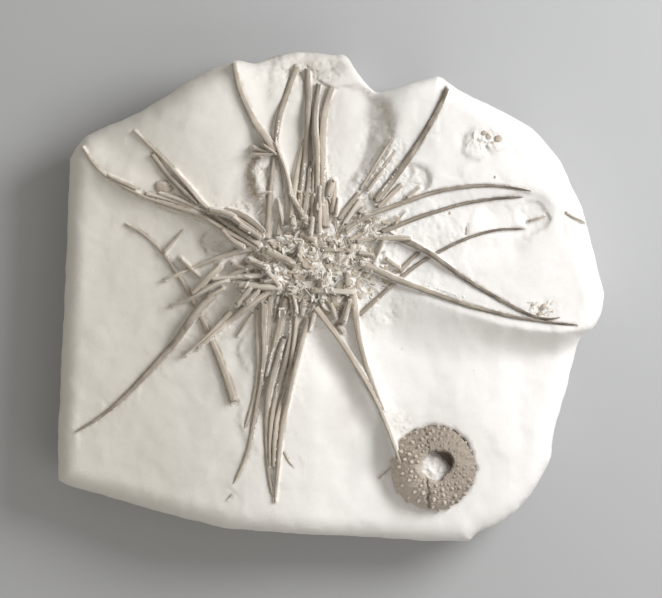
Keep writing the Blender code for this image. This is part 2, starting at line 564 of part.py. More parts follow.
# ---------------------------------------------------------------- pieces
def chalk_face(rows, floor_limits):
    """Points and triangles of the block's face, with the seats of the fossils sunk in it."""
    x, y = np.array(OUTLINE, float).T
    plan = Plan(OUTLINE, relief(x, y))
    seat, plug = TEST_SEAT - SEAT_GAP, TEST_SEAT + PLUG_HEIGHT
    for radius, level, count in ((PLUG_RADIUS, plug, 12), (PLUG_RADIUS + 0.25, seat, 12),
                                 (SEAT_RADIUS, seat, 24), (SEAT_RADIUS + SEAT_WALL, None, 24)):
        for angle in np.arange(count) * math.tau / count:
            px = TEST_CENTRE[0] + radius * math.cos(angle)
            py = TEST_CENTRE[1] + radius * math.sin(angle)
            pz = relief(np.array(px), np.array(py)) if level is None else level
            plan.add(px, py, pz, 0.05)
    add_grooves(plan, rows)
    px, py = honeycomb(OUTLINE, FACE_POINTS).T
    level = np.maximum(relief(px, py), bedding(px, py, rows))
    level = np.where(from_test(px, py) < SEAT_RADIUS + SEAT_WALL / 2, seat, level)
    level = np.where(from_test(px, py) < PLUG_RADIUS, plug, level)
    for spot in zip(px, py, level):
        plan.add(*spot, FACE_CLEAR)
    vertices, triangles = plan.triangles()
    keep_under(vertices, rows)
    press(vertices, triangles, spine_limits(rows) + floor_limits)
    return vertices, triangles


def chalk_object(rows, floor_limits, material):
    """The block: its face in relief, uneven undercut sides and a flat underside."""
    vertices, triangles = chalk_face(rows, floor_limits)
    mesh = bmesh.new()
    corners = [mesh.verts.new(Vector(v) * MM) for v in vertices]
    for triangle in triangles:
        mesh.faces.new([corners[i] for i in triangle])
    rim = [int(np.hypot(*(vertices[:, :2] - point).T).argmin()) for point in OUTLINE]
    ring = [corners[i] for i in rim]
    for share, inset in UNDERCUT:
        lower = []
        for index, (x, y) in zip(rim, OUTLINE):
            lump = noise.noise(Vector((x * SIDE_LUMPS, y * SIDE_LUMPS, share * 3.0)))
            drawn_in = 1.0 - inset * (1.0 + 0.7 * lump) / math.hypot(x, y)
            spot = Vector((x * drawn_in, y * drawn_in, vertices[index, 2] * share))
            lower.append(mesh.verts.new(spot * MM))
        for a, b, c, d in zip(ring, lower, lower[1:] + lower[:1], ring[1:] + ring[:1]):
            mesh.faces.new((a, b, c, d))
        ring = lower
    mesh.faces.new(ring)
    bmesh.ops.recalc_face_normals(mesh, faces=mesh.faces)
    return mesh_object("chalk_block", mesh, material)


def heap_object(rows, material):
    """The crushed test: one crust of broken plates. Returns the limits of the chalk under it."""
    x, y = np.array(HEAP_OUTLINE, float).T
    plan = Plan(HEAP_OUTLINE, relief(x, y) + HEAP_EDGE)
    px, py = honeycomb(HEAP_OUTLINE, HEAP_POINTS).T
    shake = np.array([HEAP_ROUGHNESS * noise.noise(Vector((a * HEAP_LUMPS, b * HEAP_LUMPS, 4.0)))
                      for a, b in zip(px, py)])
    level = relief(px, py) + heap_thickness(px, py) + shake
    for spot in zip(px + shake, py - shake, level):
        plan.add(*spot, 1.0)
    vertices, triangles = plan.triangles()
    keep_under(vertices, rows)
    press(vertices, triangles, spine_limits(rows))
    floor = np.minimum(relief(vertices[:, 0], vertices[:, 1]) - HEAP_ROOT,
                       vertices[:, 2] - HEAP_LEAST)

    mesh = bmesh.new()
    upper = [mesh.verts.new(Vector(v) * MM) for v in vertices]
    lower = [mesh.verts.new(Vector((v[0], v[1], z)) * MM) for v, z in zip(vertices, floor)]
    for a, b, c in triangles:
        mesh.faces.new((upper[a], upper[b], upper[c]))
        mesh.faces.new((lower[c], lower[b], lower[a]))
    count = len(HEAP_OUTLINE)
    for index in range(count):
        after = (index + 1) % count
        mesh.faces.new((upper[index], upper[after], lower[after], lower[index]))
    bmesh.ops.recalc_face_normals(mesh, faces=mesh.faces)
    mesh_object("crushed_test", mesh, material)
    return floor_limits(np.column_stack([vertices[:, :2], floor - GAP]), triangles)


def floor_limits(below, triangles):
    """Highest levels of the chalk under the crushed test, and just outside its edge."""
    middle = below.mean(axis=0) * (1, 1, 0)
    limits = []
    for triangle in triangles:
        for u in range(HEAP_SAMPLES + 1):
            for v in range(HEAP_SAMPLES + 1 - u):
                share = np.array([u, v, HEAP_SAMPLES - u - v]) / HEAP_SAMPLES
                spot = share @ below[list(triangle)]
                away = (spot - middle) * (1, 1, 0)
                limits.append(tuple(spot))
                limits.append(tuple(spot + away / np.hypot(*away[:2]) * GAP))
    return limits


def test_object(material):
    """The small test: a turned dome round its opening, with rows of tubercles."""
    mesh = bmesh.new()
    section = TEST_DOME + ((TEST_DOME[0][0], 0.0),)
    profile = [mesh.verts.new((radius * MM, 0.0, height * MM)) for radius, height in section]
    edges = [mesh.edges.new(pair) for pair in zip(profile, profile[1:] + profile[:1])]
    bmesh.ops.spin(mesh, geom=profile + edges, cent=(0, 0, 0), axis=(0, 0, 1), dvec=(0, 0, 0),
                   angle=math.tau, steps=TEST_COLUMNS, use_duplicate=False)
    bmesh.ops.remove_doubles(mesh, verts=mesh.verts, dist=1e-6)
    bmesh.ops.recalc_face_normals(mesh, faces=mesh.faces)
    beaded = [face for face in mesh.faces if face.normal.z > 0.12
              and face.calc_center_median().xy.length > BEADS_FROM * MM]
    bmesh.ops.inset_individual(mesh, faces=beaded, thickness=TUBERCLE_INSET * MM,
                               use_even_offset=True)
    bmesh.ops.poke(mesh, faces=beaded, offset=TUBERCLE_HEIGHT * MM, center_mode="MEAN")
    thing = mesh_object("sea_urchin_test", mesh, material)
    thing.location = (TEST_CENTRE[0] * MM, TEST_CENTRE[1] * MM, TEST_SEAT * MM)


def mesh_object(name, mesh, material):
    data = bpy.data.meshes.new(name)
    mesh.to_mesh(data)
    mesh.free()
    data.materials.append(material)
    return place(bpy.data.objects.new(name, data))


def place(thing):
    bpy.data.collections[COLLECTION].objects.link(thing)
    return thing


def finish(name, colour, roughness):
    """A plain material of one colour."""
    material = bpy.data.materials.new(name)
    material.use_nodes = True
    shader = material.node_tree.nodes["Principled BSDF"]
    shader.inputs["Base Color"].default_value = (*colour, 1.0)
    shader.inputs["Roughness"].default_value = roughness
    shader.inputs["Metallic"].default_value = 0.0
    return material


def main():
    for thing in list(bpy.data.objects):
        bpy.data.objects.remove(thing, do_unlink=True)
    collection = bpy.data.collections.new(COLLECTION)
    bpy.context.scene.collection.children.link(collection)
    chalk = finish("chalk", (0.76, 0.73, 0.68), 0.95)
    calcite = finish("grey_brown_calcite", (0.33, 0.28, 0.22), 0.7)
    plates = finish("crushed_plates", (0.52, 0.46, 0.39), 0.9)
    shell = finish("test_calcite", (0.27, 0.23, 0.18), 0.75)

    rows = lay_spines()
    chalk_object(rows, heap_object(rows, plates), chalk)
    test_object(shell)
    for name, knots in rows:
        spine_object(name, knots, calcite)


main()
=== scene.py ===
"""Finish for the fossil sea urchin: worked chalk, splintered spines, a beaded test and its crumbs.

Lengths are in millimetres until a mesh is made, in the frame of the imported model.
"""
import math
import random

import bmesh
import bpy
import numpy as np
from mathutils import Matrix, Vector
from mathutils.geometry import delaunay_2d_cdt


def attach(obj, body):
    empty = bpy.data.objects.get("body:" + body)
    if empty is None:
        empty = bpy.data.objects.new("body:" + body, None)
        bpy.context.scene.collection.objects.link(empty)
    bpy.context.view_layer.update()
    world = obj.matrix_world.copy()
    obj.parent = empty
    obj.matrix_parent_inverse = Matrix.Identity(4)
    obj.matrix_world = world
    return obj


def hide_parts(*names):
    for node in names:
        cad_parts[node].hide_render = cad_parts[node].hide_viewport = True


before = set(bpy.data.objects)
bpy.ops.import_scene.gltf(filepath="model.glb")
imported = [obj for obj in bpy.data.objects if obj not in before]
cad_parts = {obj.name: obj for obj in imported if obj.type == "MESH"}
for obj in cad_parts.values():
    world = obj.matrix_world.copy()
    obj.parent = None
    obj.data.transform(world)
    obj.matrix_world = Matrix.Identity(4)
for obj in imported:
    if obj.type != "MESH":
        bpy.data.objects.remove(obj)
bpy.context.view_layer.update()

MM = 0.001
BODY = "root"
GAP = 0.3                    # clearance between pieces that touch

# ---------------------------------------------------------------- driving dimensions
CREST = 44.0                 # height of the block's face before its relief
LEFT_FALL = 12.0             # how far the face drops towards the left edge
LEFT_START = -20.0           # where that drop begins, and over what width
LEFT_WIDTH = 105.0
BASIN_DROP = 10.0            # how far the lower right lies below the rest
FALL_SHAPE = 0.7             # below 1, a scarp is steeper at its top than at its foot
SHOULDER = 10.0              # radius of the worn edge round the face
UNDERCUT = ((0.80, 1.2), (0.42, 2.6), (0.10, 5.5), (0.0, 9.0))    # share of height, inset
SIDE_RINGS = 13              # rings of points down the block's sides

FINE = 0.44                  # spacing of the face's points beside the spines
NEAR_SPINE = 2.0             # reach of the finest points beyond a spine's side
MIDDLE_REACH = 6.5           # reach of the next finest
COARSE = 2.0                 # cell of the coarse map of how near the spines are
HIGHEST = 53.4               # nothing loose stands above this

SPINE_FINE = 0.8             # spacing at which the spines are laid side by side
SPINE_SIDES = 22
SPINE_LIFT = 0.45            # a spine's axis above the chalk, in radii
SPINE_BEND = 0.012           # how sharply a stiff spine may arch over another, per millimetre
SPINE_TAPER = 0.8            # how soon a spine thins towards its point
SIDE_BY_SIDE = 0.42          # sine of the angle under which two spines count as side by side
SLIMMEST = 0.62              # least share of its radius that a packed spine keeps
SWELLING = 1.12              # how much the outer spines are thicker than where they are packed
PLAN_EASE = 9.0              # length over which a spine's plan is smoothed
LEVEL_EASE = 5.0             # length over which its height is smoothed

TEST_CENTRE = (48.5, -79.5)
TEST_SHIFT = (-0.7, -0.4)    # from there to the middle of the beaded dome
TEST_MIDDLE = (TEST_CENTRE[0] + TEST_SHIFT[0], TEST_CENTRE[1] + TEST_SHIFT[1])
TEST_OPENING = (50.0, -78.5)
TEST_SEAT = 31.5             # level on which the small test is bedded
TEST_SHRINK = 0.955          # size of the beaded dome beside its profile
TEST_AROUND = 420            # points round the dome and along its profile
TEST_ALONG = 150
BOSS_ROOM = 1.8 * 0.9        # a spine that lies on the test clears its bosses

HEAP_THICKNESS = 3.4
HEAP_EDGE = 1.0              # thickness at the heap's rim
HEAP_RIM = 7.0               # how far in from the rim the heap is full
HEAP_SPACING = 0.36
HUB = (-4.0, 14.0)           # middle of the crushed test
CHIPS = 3000                 # how many chips and slivers are tried
CRUMBS = 1700                # how many crumbs of chalk are tried

CAMERA_HEIGHT = 3000.0
FRAME_LEVEL = 32.0           # height at which the view is as wide as FRAME_WIDTH
FRAME_WIDTH = 309.35
AIM = (0.23, -1.17)          # middle of the view in plan

# ---------------------------------------------------------------- the block and its face
# the block's outline, clockwise from the left of the top edge
OUTLINE = (
    (-122.3, 65), (-119.3, 70), (-115, 75), (-105, 80), (-95, 84), (-85, 89.3), (-75, 95.3), (-65, 102),
    (-55, 107), (-44, 110.5), (-35, 109.5), (-25, 113), (-15, 115), (0, 113.5), (7, 113), (12, 106),
    (17, 99.5), (22, 96), (30, 97.2), (40, 100.3), (50, 103), (55, 100.2), (60, 96.7), (70, 91.5),
    (80, 86.8), (93, 79.5), (99, 73.5), (107.5, 63), (112.5, 52.5), (118, 40.5), (122, 25), (127.4, 4),
    (128, -1), (126.5, -8.6), (122.9, -14.8), (117, -19.8), (113, -35), (109, -50), (106.2, -59),
    (104, -70), (103.4, -76), (97, -88.5), (88, -100), (79, -106.5), (69, -111), (64, -114.7), (50, -115),
    (20, -113), (-10, -111.5), (-35, -109.7), (-50, -108.5), (-60, -106), (-75, -102.3), (-90, -98.2),
    (-105, -93.8), (-120, -89.8), (-126.5, -87), (-128, -84), (-128, -62.7), (-127.1, -49), (-126.2, -23),
    (-125, 0), (-123.6, 34))

HEAP_OUTLINE = (
    (-34, 3), (-36, 12), (-35, 21), (-30, 27), (-23, 31), (-14, 31), (-6, 29), (2, 29), (9, 25.5), (17, 25),
    (24, 23), (28, 17), (24, 11), (17, 7), (12, -1), (8, -8), (-1, -9), (-8, -5), (-15, -6), (-21, -2),
    (-28, -1))

# line along the top of the scarp that falls to the lower right: x, y, width of the fall, share
SCARP = (
    (-40, -14, 26, 0.0), (-8, -12, 26, 0.25), (8, -6, 24, 0.6), (28, 3, 27, 0.85), (45, -1, 31, 1.0),
    (60, -6.5, 27, 1.0), (75, -11.5, 20, 1.1), (90, -15, 15, 1.25), (105, -16.5, 12.5, 1.25),
    (120, -15, 10, 1.2), (135, -9, 9, 1.2))

# foot of the step that rises to the upper right lobe: y, x, width of the rise, height
STEP = (
    (42, 2, 8, 0.0), (52, 8, 8, 1.5), (61, 13.5, 9, 3.6), (70, 16.5, 11, 5.5), (82, 17.5, 18, 8.0),
    (95, 18, 24, 8.5), (116, 19, 24, 8.5))
STEP_FADE = (-52, 46)        # where the lower ground left of the step begins, and over what width

# where the block's edge is keen rather than worn: centre, reach, share
KEEN_EDGE = ((12, 104), (34, 16), 0.75)

# valleys and ridges of the face: points of (x, y, half width, depth), a ridge has a depth below 0
VALLEYS = (
    ((58, 41, 7, 1.5), (75, 40, 9, 2.2), (91, 39, 8, 1.8)),
    ((70, 22, 6, 1.0), (86, 24, 7, 2.2), (98, 28, 6, 0.8)),
    ((25, -68, 4, 2.0), (23, -84, 5, 3.5), (29, -97, 4, 1.0)),
    ((-9, -16, 5, 1.0), (3, -36, 7, 2.4), (14, -58, 7, 2.2)),
    ((-3, -8, 5, -1.2), (10, -29, 6, -3.0), (25, -57, 6, -3.4), (29, -66, 5, -1.6)),
    ((-45, 109, 5, -2.4), (-36, 84, 5, -1.0), (-27, 70, 4, -0.6)),
    ((-118, 68, 7, -1.6), (-92, 51, 7, -2.0), (-62, 38, 6, -1.2)))

# swellings and hollows of the face: centre, reach, turn in degrees, height, steepness of the side
MOUNDS = (
    ((70, 58), (46, 34), 0, 4.0, 1),
    ((-68, 80), (28, 17), 35, 4.5, 1),
    ((-4, 12), (40, 26), 0, 2.6, 1),
    ((6, 78), (11, 20), 0, 0.7, 1),
    ((76, 74), (17, 17), 0, 1.6, 1),
    ((-95, -40), (34, 42), 0, 2.0, 1),
    ((-9, 113.5), (27, 9.5), 4, -3.2, 3),
    ((-30, 54.5), (8, 13), -4, 1.9, 4),
    ((36, 54), (11, 7), 20, -1.3, 4),
    ((86, 38), (17, 10), 10, -1.3, 5),
    ((-43, -27), (5, 8), 0, -1.6, 1),
    ((-56, 26), (7, 6), 0, -1.8, 2),
    ((75, -60), (26, 24), 0, 2.5, 1),
    ((-78, 51), (6, 4.5), 0, 1.0, 1))

# crumbly, broken or splintered chalk: centre, reach, turn in degrees, share
ROUGH = (
    ((-4, 14), (48, 32), 0, 1.0),
    ((-32.5, 57), (7, 13), -8, 1.0),
    ((20, 57), (9, 20), -35, 0.95),
    ((-8, 50), (14, 22), 0, 0.8),
    ((-14, 106), (22, 8), 0, 0.9),
    ((38, 54), (10, 7), 20, 0.8),
    ((48, 30), (18, 17), 0, 0.45),
    ((-24, -30), (13, 26), 0, 0.5),
    ((-56, -8), (20, 15), 40, 0.55),
    ((-58, 36), (24, 11), -28, 0.6),
    ((32, -59), (6, 8), 0, 0.9),
    ((86, 38), (16, 9), 10, 0.35),
    ((71, 71.5), (10, 6.5), 0, 0.95),
    ((20, 76), (8, 18), -15, 0.5),
    ((41, 54), (6, 7), 0, 0.8),
    ((98, -6), (9, 5), 0, 0.6),
    ((-52, 26), (6, 7), 0, 0.95),
    ((-36, 42), (10, 8), -25, 0.9))

# broad greyer patches of the chalk, partly its own greyer tone and partly painted shade on slopes and hollows
# turned from the light: centre, reach, turn in degrees, share
GREY_AND_SHADE_PATCHES = (
    ((-14, 88), (32, 26), 0, 0.75),
    ((-8, 107), (24, 9), 0, 0.9),
    ((25, 76), (7, 20), 0, 0.75),
    ((8, -48), (9, 20), 0, 0.85),
    ((12, 72), (13, 18), 0, 0.35),
    ((-33, 56), (8, 12), 0, 0.5),
    ((-44, -28), (10, 14), 0, 0.5),
    ((38, 82), (12, 20), 0, 0.3),
    ((30, -58), (7, 8), 0, 0.5))

# white chalk among the crushed plates, in the same order
CHALKY = (
    ((-25, 12), (6, 7.5), 0, 1.0),
    ((5, 8), (12, 6), 0, 1.0),
    ((-22, 38), (4, 5), 0, 1.0),
    ((30, 19), (11, 6), 0, 1.0),
    ((14, 22), (4, 3), 0, 1.0),
    ((-47, 16), (9, 7), 0, 1.0),
    ((-2, 31), (6, 3), 0, 1.0),
    ((11, 29), (4, 4), 0, 1.0))

# low broken edges in the chalk, higher to the right of the way they run: drop, width of the edge,
# reach of the raised side, how dark the edge's wall is (brown staining and painted shade), and the route in
# plan
EDGES = (
    (1.1, 0.3, 5, 0.6, ((40.4, 47.4), (45.1, 50.2), (46.5, 54.7), (44.4, 58.7), (39.2, 60.6))),
    (0.9, 0.35, 5, 0.3, ((91.6, 27.2), (96.9, 30.2), (102.1, 35), (101.5, 38), (97, 43.5), (91, 44),
     (87.5, 40.5), (89, 36))),
    (1.0, 0.35, 6, 0.4, ((62.1, 69.9), (64.1, 75.7), (69.3, 78.4), (77.2, 77.7), (81.8, 74.4), (81.2, 69.9),
     (75.9, 67.2), (70.7, 64.6), (65.4, 63.9), (62.1, 67.2), (62.1, 69.9))),
    (2.8, 1.5, 9, 2.4, ((-32.5, 45), (-35.5, 50), (-37, 56), (-36, 62), (-32.5, 67))),
    (1.8, 0.6, 5, 1.2, ((-56, 19), (-59, 22.5), (-59.5, 27), (-57, 31.5))),
    (1.2, 0.35, 7, 0.5, ((20, 94), (14, 97.5), (7, 98.5), (0, 97.4), (-4, 99.5), (-7, 103))),
    (1.4, 0.9, 7, 0.7, ((-28, 98), (-27.5, 104), (-25, 110))),
    (2.0, 2.2, 9, 0.55, ((14.3, 56.8), (20.8, 61.9), (27.8, 72.7), (27.8, 84.3), (19.4, 93.2))),
    (0.5, 0.25, 4, 0.9, ((26, -58), (26.2, -54), (29.5, -53), (33, -57.5), (36.5, -62))),
    (0.8, 0.4, 5, 0.6, ((-40, -32), (-43, -27), (-42, -21), (-38, -17))),
    (1.1, 0.4, 5, 1.4, ((-33.5, 61), (-33, 55), (-30.5, 50), (-30.5, 44))),
    (0.8, 1.4, 5, 0.1, ((-37.1, -68.7), (-40.4, -64.2), (-42.7, -57.5), (-41, -49.6))),
    (0.9, 1.5, 6, 0.15, ((-30, -14), (-37, -17), (-41, -24), (-38, -33))))

# ---------------------------------------------------------------- spines
# Bundles in the order in which their spines came to rest. Each spine has a radius at its thick end
# and at its point, how brown it is at each (below zero it is paler, partly with chalk and partly as painted
# light lifting spines that the light leaves in shade), and its route.
SPINES = (
    ("west_stray", (
        (1.8, 0.4, 0.2, 0.05, ((-45, -48.8), (-48.5, -38), (-52.2, -28), (-56, -19), (-60.5, -9), (-65, 0),
         (-70, 8.5), (-75, 16), (-80, 22.5), (-87, 29), (-96.5, 34.3))),)),
    ("north", (
        (1.6, 0.9, 0.3, 0.35, ((-29.5, 26.5), (-28, 50), (-26.3, 65))),
        (1.65, 1.0, -0.5, 0.0, ((-19.3, 38), (-20, 44), (-22, 57), (-25, 71))),
        (1.5, 0.7, 0.0, 0.1, ((-18.7, 32.5), (-17.5, 44), (-15.8, 57), (-12.3, 74.5))),
        (1.5, 1.1, 0.1, 0.55, ((-14.6, 40), (-12, 60), (-10.8, 80), (-10.5, 92), (-10.9, 106))),
        (1.1, 1.0, 0.25, 0.6, ((-12.3, 38), (-10.3, 50), (-9.7, 60))),
        (1.4, 0.7, 0.0, 0.1, ((-8.5, 34), (-8.2, 50), (-7.4, 63))),
        (1.7, 1.1, 0.05, 0.3, ((-2.3, 32.5), (-3.4, 57), (-3.8, 70), (-3.5, 80), (-2, 90), (0.7, 97.5))),
        (1.2, 1.0, 0.0, 0.6, ((-6.3, 35), (-6.2, 57), (-6.5, 68), (-7.4, 78), (-7, 88), (-5.6, 99))),
        (1.3, 1.3, 0.0, 0.35, ((1.2, 39), (1.4, 53.5))),
        (1.8, 1.0, 0.05, 0.25, ((-25.3, 67), (-31, 75), (-35, 80.5), (-40.5, 92), (-43, 99), (-44.9, 108))),
        (1.2, 1.0, 0.45, 0.4, ((-25.4, 72.5), (-24.9, 78), (-23.6, 85.5), (-21.5, 90.5), (-18.7, 99.6),
         (-15.7, 107))),
        (0.9, 0.8, 0.0, 0.1, ((-9, 31.5), (-14, 40), (-18.2, 46.7), (-20.3, 57), (-25.6, 70.9))),)),
    ("north_east", (
        (1.1, 1.0, 0.0, 0.4, ((22.2, 41.5), (33, 52))),
        (1.5, 0.85, 0.45, 1.0, ((21, 44.5), (30.5, 56.3), (40.3, 70.3), (50.2, 87.3), (54.2, 96.7))),
        (1.1, 0.9, -0.4, -0.4, ((6.5, 34), (13.8, 45))),
        (1.0, 0.8, 0.3, 0.3, ((4, 36), (8.5, 42.5), (13, 48))),
        (1.3, 1.1, 0.0, 0.1, ((7, 29.5), (12, 33.5), (17.5, 38.5))),
        (1.1, 1.0, 0.0, 0.1, ((9, 26), (16, 30.5))),)),
    ("east", (
        (1.1, 0.5, 0.35, 0.95, ((13.8, -8.2), (28, 4.7), (36, 11.5), (44, 17.4), (49.5, 20.3), (60, 25.7),
         (70, 29.3), (80, 31.4), (90.5, 31.4))),
        (1.6, 0.5, 0.3, 0.95, ((7, 31), (17.5, 37.8), (28, 41.5), (38, 45.3), (50, 49), (60, 50.6),
         (70, 51.6), (80, 51.2), (93.5, 49))),
        (1.25, 0.5, 0.4, 1.0, ((24, 30), (38, 35.8), (50, 39.8), (60, 42.8), (70, 44.6), (80, 45.8),
         (89.5, 46.2))),
        (1.2, 0.8, 0.1, 0.95, ((32.2, 12), (37.5, 17.3), (42, 21.5))),
        (1.4, 0.55, 0.7, 1.0, ((31, 27.2), (37, 25), (45, 20.8), (50, 17.5), (60, 10), (70, 3.7), (80, -2),
         (90, -7.4), (96, -9.6), (101, -10.8), (106.7, -9.8))),
        (1.65, 0.5, 0.25, 1.0, ((13.5, 15.5), (20, 13), (28, 9), (36, 5.8), (45, 2.5), (55, -1), (65, -4.5),
         (75, -7), (85, -9.5), (95, -11), (105, -12.5), (115.3, -13.3))),)),
    ("south_east", (
        (1.5, 0.6, -0.1, 0.45, ((9.5, 4), (10.5, 0), (12, -12), (13.5, -21), (16.5, -32), (20.8, -44),
         (25.3, -54))),
        (1.4, 0.65, 0.1, 0.15, ((-7, -5), (0, -14), (5, -21), (10, -29), (15, -37), (20, -46), (25, -57),
         (27.5, -63.5), (29.5, -69), (32.7, -78))),)),
    ("south", (
        (1.5, 0.6, -0.2, 0.05, ((-33.8, -6), (-33.9, -20), (-33.6, -32), (-34.8, -43), (-37, -52.5),
         (-40, -61.3))),
        (1.0, 0.9, 0.35, 0.2, ((-28.3, 0), (-28.8, -10), (-29.8, -26))),
        (1.9, 0.5, 0.3, 0.25, ((-31, -3.4), (-31.3, -15), (-31, -28), (-32.3, -40), (-34.2, -50),
         (-36.3, -62), (-38.5, -72), (-41.5, -80), (-45.2, -87.2))),
        (1.6, 1.3, 0.4, -0.3, ((-20.3, -0.5), (-22.8, -9.5), (-26, -23.5), (-29.4, -37))),
        (1.6, 0.6, 0.35, 0.2, ((-21.5, -19.5), (-25, -30.5), (-27.5, -38.5), (-29.5, -48), (-29.8, -58),
         (-30, -67), (-29.6, -76), (-28.3, -86), (-26.2, -95.5))),
        (1.25, 0.8, 0.0, 0.1, ((-17.6, -8), (-18.8, -20), (-21, -30), (-24, -42), (-26.3, -50), (-28, -62),
         (-28.3, -79))),
        (1.35, 0.9, 0.0, 0.1, ((-16, -9), (-16.5, -18), (-19, -36), (-21.5, -45), (-24.5, -55),
         (-26.2, -68), (-26.3, -79.5))),
        (1.1, 0.9, 0.0, 0.1, ((-12, -11), (-14.5, -22), (-16.3, -30))),
        (1.7, 0.6, 0.1, 0.2, ((-10, -10), (-12.5, -18), (-15.5, -30), (-19.5, -46), (-22, -57),
         (-23.2, -66), (-24.5, -79), (-25.9, -95.8))),)),
    ("south_west", (
        (1.2, 1.1, -0.15, -0.15, ((-28, 2.8), (-34, -1.5), (-40, -6), (-47, -11.5), (-55, -18.2),
         (-62, -24))),
        (1.5, 0.5, 0.1, 0.05, ((-46.6, -7.2), (-52.2, -13.2), (-60, -20.8), (-67.5, -26.8))),
        (1.9, 0.5, 0.3, 0.55, ((-55, 0.5), (-60, -4.5), (-65, -10.5), (-70, -18), (-77, -26.5), (-84, -34),
         (-90, -40.5), (-96, -46.5), (-102, -52), (-108, -56.5), (-114, -60.5), (-119.3, -63.3))),)),
    ("west", (
        (1.3, 1.1, -0.6, -0.25, ((-35, 14.8), (-48.5, 9))),
        (1.1, 1.0, -0.45, -0.25, ((-31, 9.8), (-45, 9), (-55, 8.1))),
        (1.2, 0.4, -0.3, -0.1, ((-48, 7.5), (-52.5, 6.3), (-60, 2.3), (-67, -1.7), (-75.3, -4.7))),
        (1.2, 1.0, 0.0, 0.1, ((-51, 14.2), (-64.5, 1.5))),
        (1.4, 0.4, -0.3, 0.0, ((-36.5, 22.4), (-42, 21.3), (-50, 19), (-60, 15), (-65, 13), (-72, 10),
         (-78.3, 7.2))),
        (1.3, 1.2, -0.2, -0.2, ((-23.6, 4.1), (-42.4, 5.4))),)),
    ("north_west", (
        (1.2, 1.0, -0.6, -0.3, ((-33, 27), (-45, 31), (-55, 35.5), (-62, 40), (-70, 43.3), (-78, 46),
         (-86, 48))),
        (1.4, 0.5, -0.4, -0.5, ((-41, 23), (-46, 26.5), (-52, 31), (-60, 35.9), (-68, 38.5), (-78, 41.8),
         (-88, 46.3), (-98, 51))),
        (1.1, 1.0, -0.6, -0.3, ((-55, 38), (-60, 40.5), (-66, 43.3), (-72, 46), (-80, 48))),
        (1.5, 0.5, 0.05, 0.1, ((-34, 22.5), (-40, 26), (-50, 31.5), (-58, 36.5), (-65, 39.5), (-75, 42.5),
         (-86, 46), (-95, 50.5), (-104, 55.6), (-110, 61), (-116, 70))),
        (1.0, 0.8, 0.0, 0.1, ((-90.3, 50.2), (-97, 53.3), (-104, 56.3))),
        (1.2, 1.0, 0.6, 0.3, ((-62, 43), (-68, 48.5), (-72, 52.5), (-76, 56.5), (-83, 66.3))),
        (1.4, 1.2, 0.6, 0.0, ((-31.3, 30), (-36, 34.5), (-42, 38.3), (-49, 40.3))),
        (1.1, 0.9, 0.4, -0.1, ((-31.5, 28), (-39.3, 33.4), (-45, 37))),
        (1.5, 0.4, 0.0, 0.2, ((-33, 24), (-43, 30.5), (-51, 35.5), (-54, 38.5), (-60, 43.5), (-65, 50),
         (-72, 57.5), (-80, 66.5), (-92.3, 77.7))),)),
    ("centre", (
        (1.8, 1.7, 0.0, 0.1, ((-29.5, 21.5), (-16.5, 15))),
        (1.1, 1.0, 0.3, 0.4, ((-3, 21.8), (10, 21.2))),
        (1.3, 1.2, 0.0, -0.5, ((-9, 3), (11, 2))),)))

